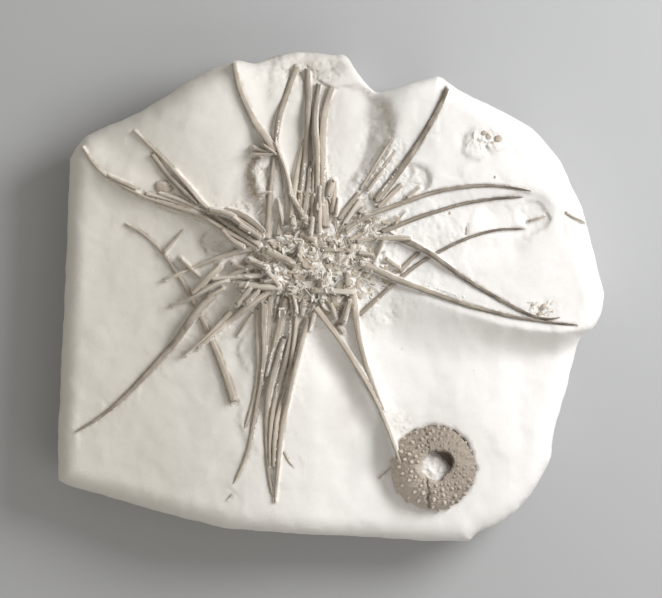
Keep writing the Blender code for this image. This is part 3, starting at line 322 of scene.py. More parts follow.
# broken pieces of spine too short for a node: radius at each end, and the route in plan
FRAGMENTS = (
    (0.8, 0.7, ((-5.2, 29.5), (-5.1, 51.5))),
    (0.65, 0.6, ((35.5, 45.8), (42, 50.7))),
    (1.1, 1.0, ((-43.5, -3.5), (-37.3, 3.8))),
    (0.9, 0.8, ((-39.5, -3), (-33, 3))),
    (1.4, 1.3, ((-14, 29.2), (-7, 25.8))),
    (1.0, 0.9, ((12, 25.5), (20, 26.8), (37, 27))),
    (0.7, 0.5, ((20, 54), (30, 68))),
    (0.7, 0.5, ((14, 50), (29, 74))),
    (0.8, 0.7, ((17, 49), (25, 60))),
    (0.6, 0.5, ((30, 34), (35, 39.5))),
    (0.6, 0.3, ((-36, 69.2), (-25.5, 66.2))),
    (0.5, 0.3, ((-36, 66), (-26, 66.5))),
    (0.5, 0.3, ((-31, 70.3), (-25.5, 66.5))),
    (0.55, 0.5, ((92.5, 35.2), (101.3, 37.7))),
    (0.5, 0.4, ((109.5, 39), (113, 37), (118.4, 34.9))),
    (0.35, 0.3, ((63.3, 29), (63.5, 33.5))),
    (0.6, 0.4, ((24.6, 25.4), (20.7, 16.3))),
    (1.1, 0.9, ((6, -11.5), (9, -2))),
    (1.4, 1.1, ((3.5, -13), (6, -16.5))),
    (0.5, 0.4, ((-45.8, -92.2), (-48.2, -94.8))),
    (0.8, 0.6, ((-19.5, 3.3), (-16.8, -8.3))),
    (0.8, 0.6, ((-18, 3), (-15.5, -8.3))),
    (0.45, 0.25, ((-21.6, -72.5), (-20.2, -75.5), (-18.5, -78), (-16.5, -80))),
    (0.75, 0.6, ((-77.5, 20.5), (-73, 26), (-68.7, 31.2))),
    (0.75, 0.5, ((-70, 17.6), (-61, 9))),
    (1.3, 1.2, ((-14, 24), (-14, 16))),
    (1.5, 1.3, ((8.3, 10.5), (8.2, 4.5))),
    (1.1, 0.8, ((0, -3), (2.5, -10))),
    (0.45, 0.3, ((-12, 3.5), (-7, -2))),
    (0.45, 0.3, ((-4, 4), (-4, 13))),
    (1.4, 1.3, ((-17.5, 33), (-17.8, 36.5))),
    (1.3, 1.2, ((-1, 47), (0.8, 53))),
    (1.3, 1.2, ((13.5, 39), (15.5, 41))),
    (0.4, 0.3, ((22.8, -84.8), (28, -79.8))),
    (1.0, 0.8, ((-30, 12), (-24, 5))),
    (0.9, 0.7, ((-24, 22), (-17, 20.5))),
    (0.8, 0.6, ((-2, 26.5), (5, 24.5))),
    (1.0, 0.8, ((13, 20.5), (20, 19.5))),
    (0.8, 0.5, ((-9, 11), (-3, 7))),
    (0.7, 0.5, ((15, 30.5), (21, 34.5))),
    (0.8, 0.6, ((25, 34), (31, 36.5))),
    (0.8, 0.6, ((-38, 17), (-29, 13.5))),
    (0.9, 0.7, ((-46, 15.5), (-38, 12.5))),
    (0.8, 0.6, ((-31, 6.8), (-24, 8.4))),
    (1.0, 0.8, ((-12, -1), (-13.5, -9))),
    (0.9, 0.7, ((-7.5, -8), (-10, -16))),
    (0.9, 0.7, ((-25, -2), (-26.5, -12))),
    (0.9, 0.6, ((-36, -8), (-44, -19))),
    (0.8, 0.6, ((-50, 3.5), (-58, -1))),
    (0.9, 0.7, ((26, 17.5), (33, 12.5))),
    (0.7, 0.5, ((2.5, 38), (3.5, 46))),
    (0.9, 0.8, ((-9.5, 29), (-8.5, 36))),
    (1.0, 0.9, ((-24.5, 29), (-23, 38))),
    (0.8, 0.6, ((-22, 33), (-24.5, 45))),
    (1.15, 1.0, ((-44.8, 36.9), (-50, 38.9), (-56.4, 39.9))),
    (0.5, 0.6, ((-37.5, 30.3), (-40.9, 33.2), (-45.6, 37.0))),
    (0.9, 0.8, ((-33, 27.9), (-38, 31.0), (-42.5, 33.4))),
    (1.0, 0.8, ((-40.8, 23.2), (-46.3, 26.6), (-50.3, 31.2))),
    (0.35, 0.25, ((-28, 48.6), (-34, 47.9))))

# lines of chalk left between spines
SEAMS = (
    ((-19.7, -8.2), (-18.6, -13.8), (-20.3, -19.4)),
    ((-23.6, -18.3), (-27, -26.1), (-28.7, -33.9), (-30.4, -40.7)),
    ((-23.6, -33.9), (-24.8, -39.5), (-25.3, -46.3)),
    ((-32.1, -33.9), (-31.5, -47.4), (-34.9, -60.8), (-36.5, -68.7)),
    ((-24.8, -68.7), (-25.9, -80.5)),
    ((-22, -22), (-23.5, -30), (-26, -40)),
    ((-19, 47.4), (-17.8, 57.5)),
    ((-12.1, 61.3), (-13.4, 47.4)),
    ((-3.3, 42.3), (-2, 68.9)),
    ((-9.8, 42), (-8.6, 66)),
    ((-25.4, 71.4), (-24, 82)),
    ((-23, 40), (-21, 56)),
    ((24, 49), (38, 69)),
    ((-47, -13), (-60, -23.5)),
    ((40, 6.8), (62, -0.4)),
    ((-27, -8), (-28, -22)),
    ((-13, -14), (-17, -30)))

# places where chips gather: centre, spread, turn in degrees, share
CHIP_FIELD = (
    ((-6, 13), (27, 15), 0, 1.0),
    ((-48, 8), (11, 8), 0, 0.08),
    ((-36, 29), (11, 5), -28, 0.05),
    ((-12, 42), (12, 12), 0, 0.12),
    ((20, 33), (12, 10), 40, 0.15),
    ((-22, -14), (12, 14), 0, 0.14))

# ---------------------------------------------------------------- the small test
# radius and height above the seat: the dome on which spines rest, the beaded face, its inner wall
TEST_DOME = ((6.5, 12.3), (7.4, 14.2), (10.0, 15.6), (13.4, 14.8), (16.8, 11.9), (19.2, 8.0),
             (20.5, 3.6), (20.4, 0.0))
TEST_FACE = ((7.0, 13.0), (7.2, 14.4), (8.4, 14.9), (10.2, 14.7), (13.2, 13.4), (16.2, 11.2),
             (18.6, 8.4), (20.2, 4.6), (20.5, 0.0))
TEST_WALL = ((7.4, 8.0), (7.2, 10.6))
SIDE_BOSSES = ((18.6, 7.6), (19.6, 3.8))

# bosses on the upper face, in plan
BOSSES = (
    (38, -68), (42.5, -66.5), (36.5, -73.5), (39.5, -74.5), (33, -72.5), (41, -70), (43, -72), (40, -63.5),
    (47.5, -63), (48, -66.5), (44.5, -65.5), (33.5, -82.5), (37.5, -81.5), (36.5, -85.5), (33.5, -88),
    (42, -88), (39.5, -84), (43.5, -86.5), (39, -91), (43, -91.5), (41, -95), (36.5, -93.5), (39, -97.5),
    (29.5, -83), (32, -79.5), (30.5, -87.5), (51.5, -87.5), (49, -88), (55, -87.5), (58.5, -87), (52, -90),
    (56.5, -89.5), (60, -89), (62.5, -92), (52.5, -92.5), (58, -93), (48.5, -91), (48, -94.5), (53, -96),
    (59, -96.5), (53, -99), (47.5, -98), (62, -83.5), (62, -80), (60.5, -82), (58, -82), (63.5, -75),
    (61, -73.5), (58, -72), (59.5, -69), (55.5, -68.5), (51.5, -69.5), (51, -66.5), (51.5, -64),
    (54.5, -65), (57.5, -65.5), (61, -68), (66, -72.5), (66, -80), (67, -83), (67, -76), (59, -78.5),
    (57.5, -84), (64.5, -85.5), (66, -88), (34.5, -66.5), (33.5, -69.5), (37.5, -64), (44.5, -61.5),
    (50, -61), (34.5, -76), (32, -76.5), (37.5, -77), (40.5, -77), (42.5, -69.5), (45, -69), (55.5, -71),
    (57.5, -75), (64.5, -69.5), (46, -64), (55.5, -62.5))

# cracks of the test: place in plan, width and depth
CRACKS = (
    ((44.6, -84.8, 0.45, 0.9), (45.2, -88.5, 0.6, 1.0), (45.8, -91.5, 0.75, 0.8), (45.2, -94.5, 0.6, 1.2),
     (45.8, -97, 0.5, 0.8), (46.1, -101, 0.5, 0.9)),
    ((43.7, -60, 0.45, 0.45), (44.9, -66.6, 0.4, 0.6), (45.5, -70.8, 0.5, 0.5), (45.8, -73, 0.4, 0.5)))


# ---------------------------------------------------------------- plan geometry
def ramp(value):
    """A smooth rise from 0 to 1."""
    share = np.clip(value, 0.0, 1.0)
    return share * share * (3.0 - 2.0 * share)


def near_path(x, y, path):
    """Distance in plan to a path, and the path's other columns at its nearest point."""
    path = np.asarray(path, float)
    distance = np.full(x.shape, np.inf)
    values = np.zeros(x.shape + (path.shape[1] - 2,))
    for start, end in zip(path, path[1:]):
        run = end[:2] - start[:2]
        along = np.clip(((x - start[0]) * run[0] + (y - start[1]) * run[1]) / run.dot(run), 0.0, 1.0)
        away = np.hypot(x - start[0] - along * run[0], y - start[1] - along * run[1])
        nearer = away < distance
        distance = np.where(nearer, away, distance)
        here = start[2:] + along[..., None] * (end[2:] - start[2:])
        values = np.where(nearer[..., None], here, values)
    return distance, values


def closed(outline):
    """An outline with its first point again at its end."""
    return tuple(outline) + (outline[0],)


def inside(x, y, outline):
    """Which points lie within a closed outline."""
    within = np.zeros(x.shape, bool)
    for (x0, y0), (x1, y1) in zip(outline, closed(outline)[1:]):
        if y0 != y1:
            crosses = (y0 > y) != (y1 > y)
            within ^= crosses & (x < (x1 - x0) * (y - y0) / (y1 - y0) + x0)
    return within


def well_inside(x, y, outline, margin):
    """The points that lie within a closed outline and clear of it."""
    within = inside(x, y, outline)
    x, y = x[within], y[within]
    clear = near_path(x, y, closed(outline))[0] > margin
    return x[clear], y[clear]


def from_test(x, y):
    """Distance in plan from the middle of the small test."""
    return np.hypot(x - TEST_CENTRE[0], y - TEST_CENTRE[1])


def oval(x, y, centre, reach, turn=0):
    """Square of the distance from the middle of a turned oval, 1 on its edge."""
    c, s = math.cos(math.radians(turn)), math.sin(math.radians(turn))
    u = ((x - centre[0]) * c + (y - centre[1]) * s) / reach[0]
    v = ((y - centre[1]) * c - (x - centre[0]) * s) / reach[1]
    return u * u + v * v


def patches(x, y, table, power=1.5):
    """Share of the strongest of a table's oval patches at each spot."""
    share = 0.0 * x
    for centre, reach, turn, amount in table:
        share = np.maximum(share, amount * np.exp(-oval(x, y, centre, reach, turn) ** power))
    return share


def travelled(path):
    """Distance gone in plan at each point of a path."""
    return np.concatenate([[0.0], np.cumsum(np.hypot(*np.diff(path[:, :2], axis=0).T))])


def headings(path):
    """The way a path runs at each of its points."""
    way = np.gradient(path, axis=0)
    return way / np.linalg.norm(way, axis=1)[:, None]


def smooth_route(points, step):
    """Even steps along a smooth curve through points in plan, and how far along each lies."""
    p = np.array(points, float)
    p = np.vstack([2 * p[0] - p[1], p, 2 * p[-1] - p[-2]])
    fine = []
    for a, b, c, d in zip(p, p[1:], p[2:], p[3:]):
        for t in np.linspace(0.0, 1.0, 10, endpoint=False):
            fine.append(0.5 * (2 * b + (c - a) * t + (2 * a - 5 * b + 4 * c - d) * t * t
                               + (3 * b - a - 3 * c + d) * t ** 3))
    fine = np.array(fine + [p[-2]])
    length = travelled(fine)
    at = np.linspace(0.0, length[-1], max(2, int(round(length[-1] / step)) + 1))
    return np.column_stack([np.interp(at, length, column) for column in fine.T]), at


def smoothed(line, width):
    """Each column of a line of points, with its short waves taken out."""
    width = min(width, (len(line) - 1) // 2)
    if width < 2:
        return line
    kernel = np.hanning(2 * width + 1)
    kernel /= kernel.sum()
    padded = np.vstack([2 * line[0] - line[width:0:-1], line, 2 * line[-1] - line[-2:-width - 2:-1]])
    return np.column_stack([np.convolve(column, kernel, "valid") for column in padded.T])


# ---------------------------------------------------------------- heights of the face
def relief(x, y):
    """Height of the chalk before the fossils are bedded in it."""
    z = CREST - LEFT_FALL * ramp((LEFT_START - x) / LEFT_WIDTH)
    line_x, line_y, width, share = np.array(SCARP, float).T
    below = (np.interp(x, line_x, line_y) - y) / np.interp(x, line_x, width)
    z = z - BASIN_DROP * ramp(np.clip(below, 0.0, 1.0) ** FALL_SHAPE) * np.interp(x, line_x, share)
    line_y, line_x, width, height = np.array(STEP, float).T
    above = (x - np.interp(y, line_y, line_x)) / np.interp(y, line_y, width)
    lower = 1.0 - ramp(np.clip(above, 0.0, 1.0) ** FALL_SHAPE)
    z = z - np.interp(y, line_y, height) * (ramp((x - STEP_FADE[0]) / STEP_FADE[1]) * lower)
    for centre, reach, turn, height, steep in MOUNDS:
        z = z + height * np.exp(-oval(x, y, centre, reach, turn) ** steep)
    for path in VALLEYS:
        away, values = near_path(x, y, path)
        z = z - values[..., 1] * np.exp(-(away / values[..., 0]) ** 2)
    centre, reach, share = KEEN_EDGE
    worn = SHOULDER * (1.0 - share * np.exp(-oval(x, y, centre, reach)))
    edge = np.clip(near_path(x, y, closed(OUTLINE))[0], 0.0, worn)
    return z - worn + np.sqrt(worn ** 2 - (worn - edge) ** 2)


def heap_thickness(x, y):
    """Thickness of the crushed test, thin at its rim."""
    rim = near_path(x, y, closed(HEAP_OUTLINE))[0]
    full = HEAP_EDGE + (HEAP_THICKNESS - HEAP_EDGE) * ramp(rim / HEAP_RIM)
    return np.where(inside(x, y, HEAP_OUTLINE), full, 0.0)


def ground(x, y):
    """What a spine comes to rest on: the chalk, the heap or the small test."""
    z = relief(x, y) + heap_thickness(x, y)
    radius, height = np.array(TEST_DOME[::-1], float).T
    dome = np.interp(-from_test(x, y), -radius, height, left=-TEST_SEAT)
    on_test = from_test(x, y) < radius.max()
    return np.where(on_test, np.maximum(z, TEST_SEAT + dome + BOSS_ROOM), z)


# ---------------------------------------------------------------- where the spines lie
def squeeze(rows):
    """Thin the (x, y, radius) rows of spines where they are packed side by side."""
    slim = [row[:, 2].copy() for row in rows]
    heading = [np.gradient(row[:, :2], axis=0) for row in rows]
    for i, row in enumerate(rows):
        for j, other in enumerate(rows[:i]):
            away = np.hypot(row[:, None, 0] - other[:, 0], row[:, None, 1] - other[:, 1])
            nearest = away.argmin(axis=1)
            away = away.min(axis=1)
            across = other[nearest, 2] + row[:, 2]
            turned = np.cross(heading[i], heading[j][nearest])
            size = np.linalg.norm(heading[i], axis=1) * np.linalg.norm(heading[j][nearest], axis=1)
            beside = (away < across + GAP) & (np.abs(turned) < SIDE_BY_SIDE * size)
            for k in np.flatnonzero(beside):
                share = max(SLIMMEST, (away[k] - GAP) / across[k])
                slim[i][k] = min(slim[i][k], share * row[k, 2])
                m = nearest[k]
                slim[j][m] = min(slim[j][m], share * other[m, 2])
    for row, radius in zip(rows, slim):
        reach = min(8, (len(radius) - 1) // 2)
        padded = np.pad(radius, reach, mode="edge")
        row[:, 2] = np.convolve(padded, np.ones(2 * reach + 1) / (2 * reach + 1), "valid")
    return rows


def spine_plans(table):
    """Even steps of (x, y, radius) along each spine of a table."""
    rows = []
    for thick, thin, *_, points in table:
        plan, at = smooth_route(points, SPINE_FINE)
        rows.append(np.column_stack([plan, thick + (thin - thick) * (at / at[-1]) ** SPINE_TAPER]))
    return rows


def resting_height(x, y, radius, at, laid):
    """Height at which a stiff spine's axis rests on the ground and on the spines already laid."""
    need = ground(x, y) + SPINE_LIFT * radius
    for other in laid:
        near = ((other[:, 0] > x.min() - 6) & (other[:, 0] < x.max() + 6)
                & (other[:, 1] > y.min() - 6) & (other[:, 1] < y.max() + 6))
        if not near.any():
            continue
        below = other[near]
        away = np.hypot(x[:, None] - below[:, 0], y[:, None] - below[:, 1])
        reach = radius[:, None] + below[:, 3] + GAP
        over = below[:, 2] + np.sqrt(np.clip(reach ** 2 - away ** 2, 0.0, None))
        need = np.maximum(need, np.where(away < reach, over, -np.inf).max(axis=1))
    return (need - SPINE_BEND * (at[:, None] - at) ** 2).max(axis=1)


def lie_down(plans, laid):
    """Closely spaced (x, y, z, radius) of each spine, laid over those before it."""
    rows = []
    for plan in plans:
        x, y, radius = plan.T
        z = resting_height(x, y, radius, travelled(plan), laid)
        z = smoothed(z[:, None], int(LEVEL_EASE / SPINE_FINE))[:, 0]
        rows.append(np.column_stack([x, y, np.minimum(z, HIGHEST - 1.2 * radius), radius]))
        laid.append(rows[-1])
    return rows


def beside(x, y, row, reach):
    """Which points lie within reach of a spine's box in plan."""
    return np.flatnonzero((x > row[:, 0].min() - reach) & (x < row[:, 0].max() + reach)
                          & (y > row[:, 1].min() - reach) & (y < row[:, 1].max() + reach))


def nearest(x, y, row):
    """Distance in plan to a spine's axis, and the axis's height and the radius there."""
    away, values = near_path(x, y, row[::3] if len(row) > 9 else row)
    return away, values[..., 0], values[..., 1]


# ---------------------------------------------------------------- noise over the plan
def chance(ix, iy, seed):
    """A repeatable number from 0 to 1 for each whole cell."""
    n = ix.astype(np.int64) * 374761393 + iy.astype(np.int64) * 668265263 + seed * 974634777
    n = n & 0xFFFFFFFF
    n = ((n ^ (n >> 13)) * 1274126177) & 0xFFFFFFFF
    return ((n ^ (n >> 16)) & 0xFFFFFF) / float(0xFFFFFF)


def swell(x, y, size, seed):
    """Smooth noise between about -1 and 1."""
    gx, gy = np.asarray(x) / size + 57.3, np.asarray(y) / size + 31.7
    ix, iy = np.floor(gx), np.floor(gy)
    fx, fy = gx - ix, gy - iy
    ease_x, ease_y = fx * fx * (3 - 2 * fx), fy * fy * (3 - 2 * fy)
    total = 0.0
    for dx in (0, 1):
        for dy in (0, 1):
            angle = math.tau * chance(ix + dx, iy + dy, seed)
            slope = np.cos(angle) * (fx - dx) + np.sin(angle) * (fy - dy)
            total = total + slope * (ease_x if dx else 1 - ease_x) * (ease_y if dy else 1 - ease_y)
    return 1.6 * total


def shards(x, y, size, seed):
    """Broken cells: distance to the crack round each, its own two numbers, and the way from its middle."""
    gx, gy = np.asarray(x) / size + 91.1, np.asarray(y) / size + 17.9
    ix, iy = np.floor(gx), np.floor(gy)
    first = np.full(gx.shape, 9.0)
    second = np.full(gx.shape, 9.0)
    own = np.zeros(gx.shape + (4,))
    for dx in (-1, 0, 1):
        for dy in (-1, 0, 1):
            a, b, *numbers = (chance(ix + dx, iy + dy, seed + k) for k in range(4))
            px, py = ix + dx + 0.1 + 0.8 * a, iy + dy + 0.1 + 0.8 * b
            away = np.hypot(px - gx, py - gy)
            nearer = away < first
            second = np.where(nearer, first, np.minimum(second, away))
            first = np.where(nearer, away, first)
            own = np.where(nearer[..., None], np.stack([*numbers, gx - px, gy - py], axis=-1), own)
    return second - first, own


def tilted(own):
    """Slope of each broken cell's own face."""
    return (own[..., 1] - 0.5) * own[..., 2] + (own[..., 0] - 0.5) * own[..., 3]


# ---------------------------------------------------------------- height of the finished chalk
def broken_edges(x, y):
    """Lift of the ground beside each low edge, and the darkening along its wall, brown staining and painted
    shade.
    """
    lift, stain_and_shade = np.zeros(x.shape), np.zeros(x.shape)
    for drop, width, reach, edge_stain_and_shade, route in EDGES:
        path = smooth_route(route, 1.0)[0]
        row = np.column_stack([path, path, headings(path)])
        near = beside(x, y, row, 2.0 * reach)
        px, py = x[near], y[near]
        away, values = near_path(px, py, row)
        over = (px - values[..., 0]) * values[..., 3] - (py - values[..., 1]) * values[..., 2]
        over = over + 0.8 * swell(px, py, 5.0, 140) + 0.5 * width * swell(px, py, 1.7, 141)
        past = [np.hypot(px - end[0], py - end[1]) for end in path[[0, -1]]]
        shut = np.hypot(*(path[0] - path[-1])) < 1.0
        ends = 1.0 if shut else ramp(np.minimum(*past) / 3.0)
        fade = np.exp(-(away / reach) ** 2) * ends
        lift[near] += drop * fade * (0.5 * np.tanh(over / width) - 0.1)
        # brown staining and painted shade on the wall and at its foot, on the low side of the edge
        line = edge_stain_and_shade * ends * np.exp(-((over + 0.3 * width) / width) ** 2)
        stain_and_shade[near] = np.maximum(stain_and_shade[near], line * np.exp(-(away / reach) ** 4))
    return lift, stain_and_shade


def grey_and_shade(x, y):
    """Share of the greyer chalk, partly painted shade."""
    return patches(x, y, GREY_AND_SHADE_PATCHES, 1) * (1.0 + 0.25 * swell(x, y, 8, 142) + 0.15 * swell(x, y, 3, 143))


def scraped(x, y):
    """Shallow flats and strokes left by a scraper on the smooth chalk."""
    along, across = 0.8 * x + 0.6 * y, 0.8 * y - 0.6 * x
    strokes = swell(along, across * 3.2, 11, 8) * swell(x, y, 23, 9)
    edge, own = shards(x, y, 13, 14)
    flats = 0.10 * (own[..., 0] - 0.5) * own[..., 2] * 9 + 0.10 * (own[..., 1] - 0.5) * own[..., 3] * 9
    return (0.30 * swell(x, y, 19, 1) + 0.13 * swell(x, y, 7, 2) + 0.05 * swell(x, y, 2.6, 3)
            + 0.16 * strokes + flats * ramp(edge * 4))


def crumbled(x, y):
    """Broken chalk: tilted chips of three sizes with open cracks round them."""
    z = 0.7 * swell(x, y, 7.5, 4) + 0.25 * swell(x, y, 2.2, 5)
    for size, height, tilt, depth, seed in ((5.0, 0.9, 0.7, 0.35, 11), (2.1, 0.55, 0.6, 0.3, 15),
                                            (0.95, 0.28, 0.35, 0.15, 18)):
        crack, own = shards(x + swell(x, y, size, seed + 40) * size * 0.3, y, size, seed)
        z = z + height * (own[..., 0] - 0.5) + tilt * tilted(own) - depth * np.exp(-(crack / 0.13) ** 2)
    return z


def worked_face(x, y, rows):
    """Height of the chalk with scraper marks, crumbly ground and banked spines, and how brown it is:
    staining, with painted shade beside and between the spines and on the walls of low edges, and darker in a
    thin ring round the test's foot.
    """
    base = relief(x, y)
    patchy = np.clip(patches(x, y, ROUGH) * (1.0 + 0.5 * swell(x, y, 9, 50)) - 0.05, 0, 1)
    crumbs = crumbled(x, y)
    lift, edge_stain_and_shade = broken_edges(x, y)
    z = base + lift + scraped(x, y) * (1 - 0.6 * patchy) + crumbs * patchy * 0.9
    stain_and_shade = np.maximum(0.30 * patchy + 0.10 * np.clip(swell(x, y, 30, 7), 0, 1), edge_stain_and_shade)
    other_gap = np.full(x.shape, 9.0)
    for index, row in enumerate(rows):
        near = beside(x, y, row, 7.0)
        if not len(near):
            continue
        px, py = x[near], y[near]
        away, axis, radius = nearest(px, py, row)
        gap = np.clip(away - radius, 0.0, None)
        creep = swell(px, py, 3.1, 20 + index) * 0.5 + swell(px, py, 1.2, 21 + index) * 0.25
        joint = np.exp(-((gap + other_gap[near]) / 1.3) ** 4)
        collar = axis - radius * (0.45 - 0.5 * creep - 0.6 * joint)
        high = np.clip(axis - base[near] - 1.2, 0.0, 4.0)
        bank = collar - gap * (0.8 + 0.35 * creep + 1.3 * high) - 0.10 * gap ** 2
        bank = bank + crumbs[near] * (0.25 + 0.5 * patchy[near]) * np.clip(gap, 0, 1)
        level = np.where(gap < 6.0, np.maximum(z[near], bank), z[near])
        level = level - 0.30 * np.exp(-((away - radius) / 0.35) ** 2) * np.clip(0.6 - creep * 2, 0, 1)
        under = axis - np.sqrt(np.clip(radius ** 2 - away ** 2, 0.0, None)) * 0.85
        z[near] = np.where(away < radius * 0.93, np.minimum(level, under), level)
        # painted shade with some dirt: the chalk is darkened close beside each spine and deep brown in the
        # narrow gaps between spines that lie side by side
        stain_and_gap_shade = np.maximum(0.7 * np.exp(-(gap / 0.7) ** 2), 1.4 * joint)
        stain_and_shade[near] = np.maximum(stain_and_shade[near], stain_and_gap_shade)
        other_gap[near] = np.minimum(other_gap[near], gap)
    within = from_test(x, y)
    z = np.where(within < 18.6, TEST_SEAT - 0.6, z)
    # the chalk is darker in a thin ring round the foot of the test
    stain_and_shade = np.maximum(stain_and_shade, 0.25 * np.exp(-(np.clip(within - 20.0, 0, None) / 1.0) ** 2))
    return np.minimum(z, HIGHEST), stain_and_shade


def under_spines(x, y, z, rows):
    """Keep a surface below the spines that lie on it."""
    for row in rows:
        near = beside(x, y, row, 4.0)
        if len(near):
            away, axis, radius = nearest(x[near], y[near], row)
            under = axis - np.sqrt(np.clip(radius ** 2 - away ** 2, 0, None)) * 0.8
            z[near] = np.where(away < radius, np.minimum(z[near], under), z[near])
    return z


def heap_face(x, y, rows):
    """Height of the crushed test's bed and how pale it is."""
    z = relief(x, y) + np.maximum(heap_thickness(x, y), 0.8) - 0.9
    tone = 0.22 + 0.75 * patches(x, y, CHALKY)
    for size, height, tilt, seed in ((4.6, 2.4, 1.7, 90), (2.2, 1.2, 1.2, 93), (1.0, 0.45, 0.5, 96)):
        edge, own = shards(x + 0.3 * size * swell(x, y, size, seed + 5), y, size, seed)
        z = z + height * (own[..., 0] - 0.5) - 0.4 * size * 0.3 * np.exp(-(edge / 0.12) ** 2)
        z = z + tilt * tilted(own)
        tone = tone + 0.22 * (own[..., 1] - 0.5)
    return under_spines(x, y, z, rows), np.clip(tone, 0, 1)


def top_height(x, y, rows):
    """Height of whatever lies uppermost at each spot, and how far it is from a spine's side."""
    level = worked_face(x, y, rows)[0]
    on_heap = inside(x, y, HEAP_OUTLINE)
    level = np.where(on_heap, np.maximum(level, heap_face(x, y, rows)[0]), level)
    gap = np.full(x.shape, 99.0)
    for row in rows:
        near = beside(x, y, row, 3.0)
        if len(near):
            away, axis, radius = nearest(x[near], y[near], row)
            crown = axis + np.sqrt(np.clip(radius ** 2 - away ** 2, 0, None))
            level[near] = np.where(away < radius, np.maximum(level[near], crown), level[near])
            gap[near] = np.minimum(gap[near], away - radius)
    return level, gap


# ---------------------------------------------------------------- meshes
def piece(name, vertices, faces, material, node=None, layers=None, smooth=True):
    """A finished piece of the model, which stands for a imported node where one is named."""
    data = bpy.data.meshes.new(name)
    data.from_pydata((np.asarray(vertices) * MM).tolist(), [], faces)
    skin_and_light = bmesh.new()
    skin_and_light.from_mesh(data)
    bmesh.ops.recalc_face_normals(skin_and_light, faces=skin_and_light.faces)
    skin_and_light.to_mesh(data)
    skin_and_light.free()
    data.materials.append(material)
    for layer, values in (layers or {}).items():
        values = np.asarray(values, np.float32)
        kind, field = ("FLOAT", "value") if values.ndim == 1 else ("FLOAT_VECTOR", "vector")
        data.attributes.new(layer, kind, "POINT").data.foreach_set(field, values.ravel())
    data.update()
    if smooth:
        data.shade_smooth()
    thing = bpy.data.objects.new(name, data)
    bpy.context.scene.collection.objects.link(thing)
    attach(thing, BODY)
    if node:
        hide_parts(node)


def ring_faces(first, second, count):
    """Quads between two rings that start at these vertex numbers."""
    return [(first + i, first + (i + 1) % count, second + (i + 1) % count, second + i)
            for i in range(count)]


def stack_faces(rings, count, start=0, caps=(0, -1)):
    """Faces round rings stacked from a vertex number on, and over the rings named as caps."""
    first = [start + ring * count for ring in range(rings)]
    faces = [tuple(range(first[cap], first[cap] + count)) for cap in caps]
    for low, high in zip(first, first[1:]):
        faces += ring_faces(low, high, count)
    return faces


def grid(columns, lines):
    """Numbers of the columns and lines of a grid of points."""
    i, j = np.meshgrid(np.arange(*columns), np.arange(*lines), indexing="ij")
    return i.ravel(), j.ravel()


def strewn(i, j, spacing, stray, seed):
    """Places of a grid's points in plan, each off its own spot by up to the share given."""
    return [n * spacing + stray * (2 * chance(i, j, seed + k) - 1) for k, n in enumerate((i, j))]


def plan_mesh(outline, x, y):
    """Points and triangles in plan, the points of the outline first."""
    count = len(outline)
    spots = np.vstack([outline, np.column_stack([x, y])])
    loop = [(i, (i + 1) % count) for i in range(count)]
    made = delaunay_2d_cdt([Vector(spot) for spot in spots.tolist()], loop, [], 1, 1e-6)
    return np.array([spot[:] for spot in made[0]]), [tuple(face) for face in made[2]]


def closeness(rows):
    """A coarse map of how far each spot lies from the nearest spine's side."""
    nodes_x, nodes_y = np.arange(-132, 133, COARSE), np.arange(-118, 119, COARSE)
    spots_x, spots_y = np.meshgrid(nodes_x, nodes_y, indexing="ij")
    gaps = np.full(spots_x.shape, 99.0)
    for row in rows:
        for x, y, _, radius in row[::2]:
            gaps = np.minimum(gaps, np.hypot(spots_x - x, spots_y - y) - radius)
    return nodes_x, nodes_y, gaps


def nested_points(outline, rows):
    """Points in plan within the outline: close beside the spines, wide apart on the open face."""
    nodes_x, nodes_y, gaps = closeness(rows)
    i, j = grid((-310, 311), (-280, 281))
    x, y = i * FINE, j * FINE
    cell_x = np.clip(np.rint((x - nodes_x[0]) / COARSE).astype(int), 0, len(nodes_x) - 1)
    cell_y = np.clip(np.rint((y - nodes_y[0]) / COARSE).astype(int), 0, len(nodes_y) - 1)
    gap = gaps[cell_x, cell_y]
    covered = inside(x, y, HEAP_OUTLINE) & (near_path(x, y, closed(HEAP_OUTLINE))[0] > 3)
    covered |= from_test(x, y) < 18
    share = patches(x, y, ROUGH)
    step = np.where((gap < MIDDLE_REACH) | (share > 0.3), 2, 4)
    step = np.where((gap < NEAR_SPINE) | (share > 0.85), 1, step)
    step = np.where(covered, 4, step)
    keep = (i % step == 0) & (j % step == 0)
    x, y = strewn(i[keep], j[keep], FINE, 0.22 * FINE * step[keep], 61)
    return well_inside(x, y, outline, 0.5)


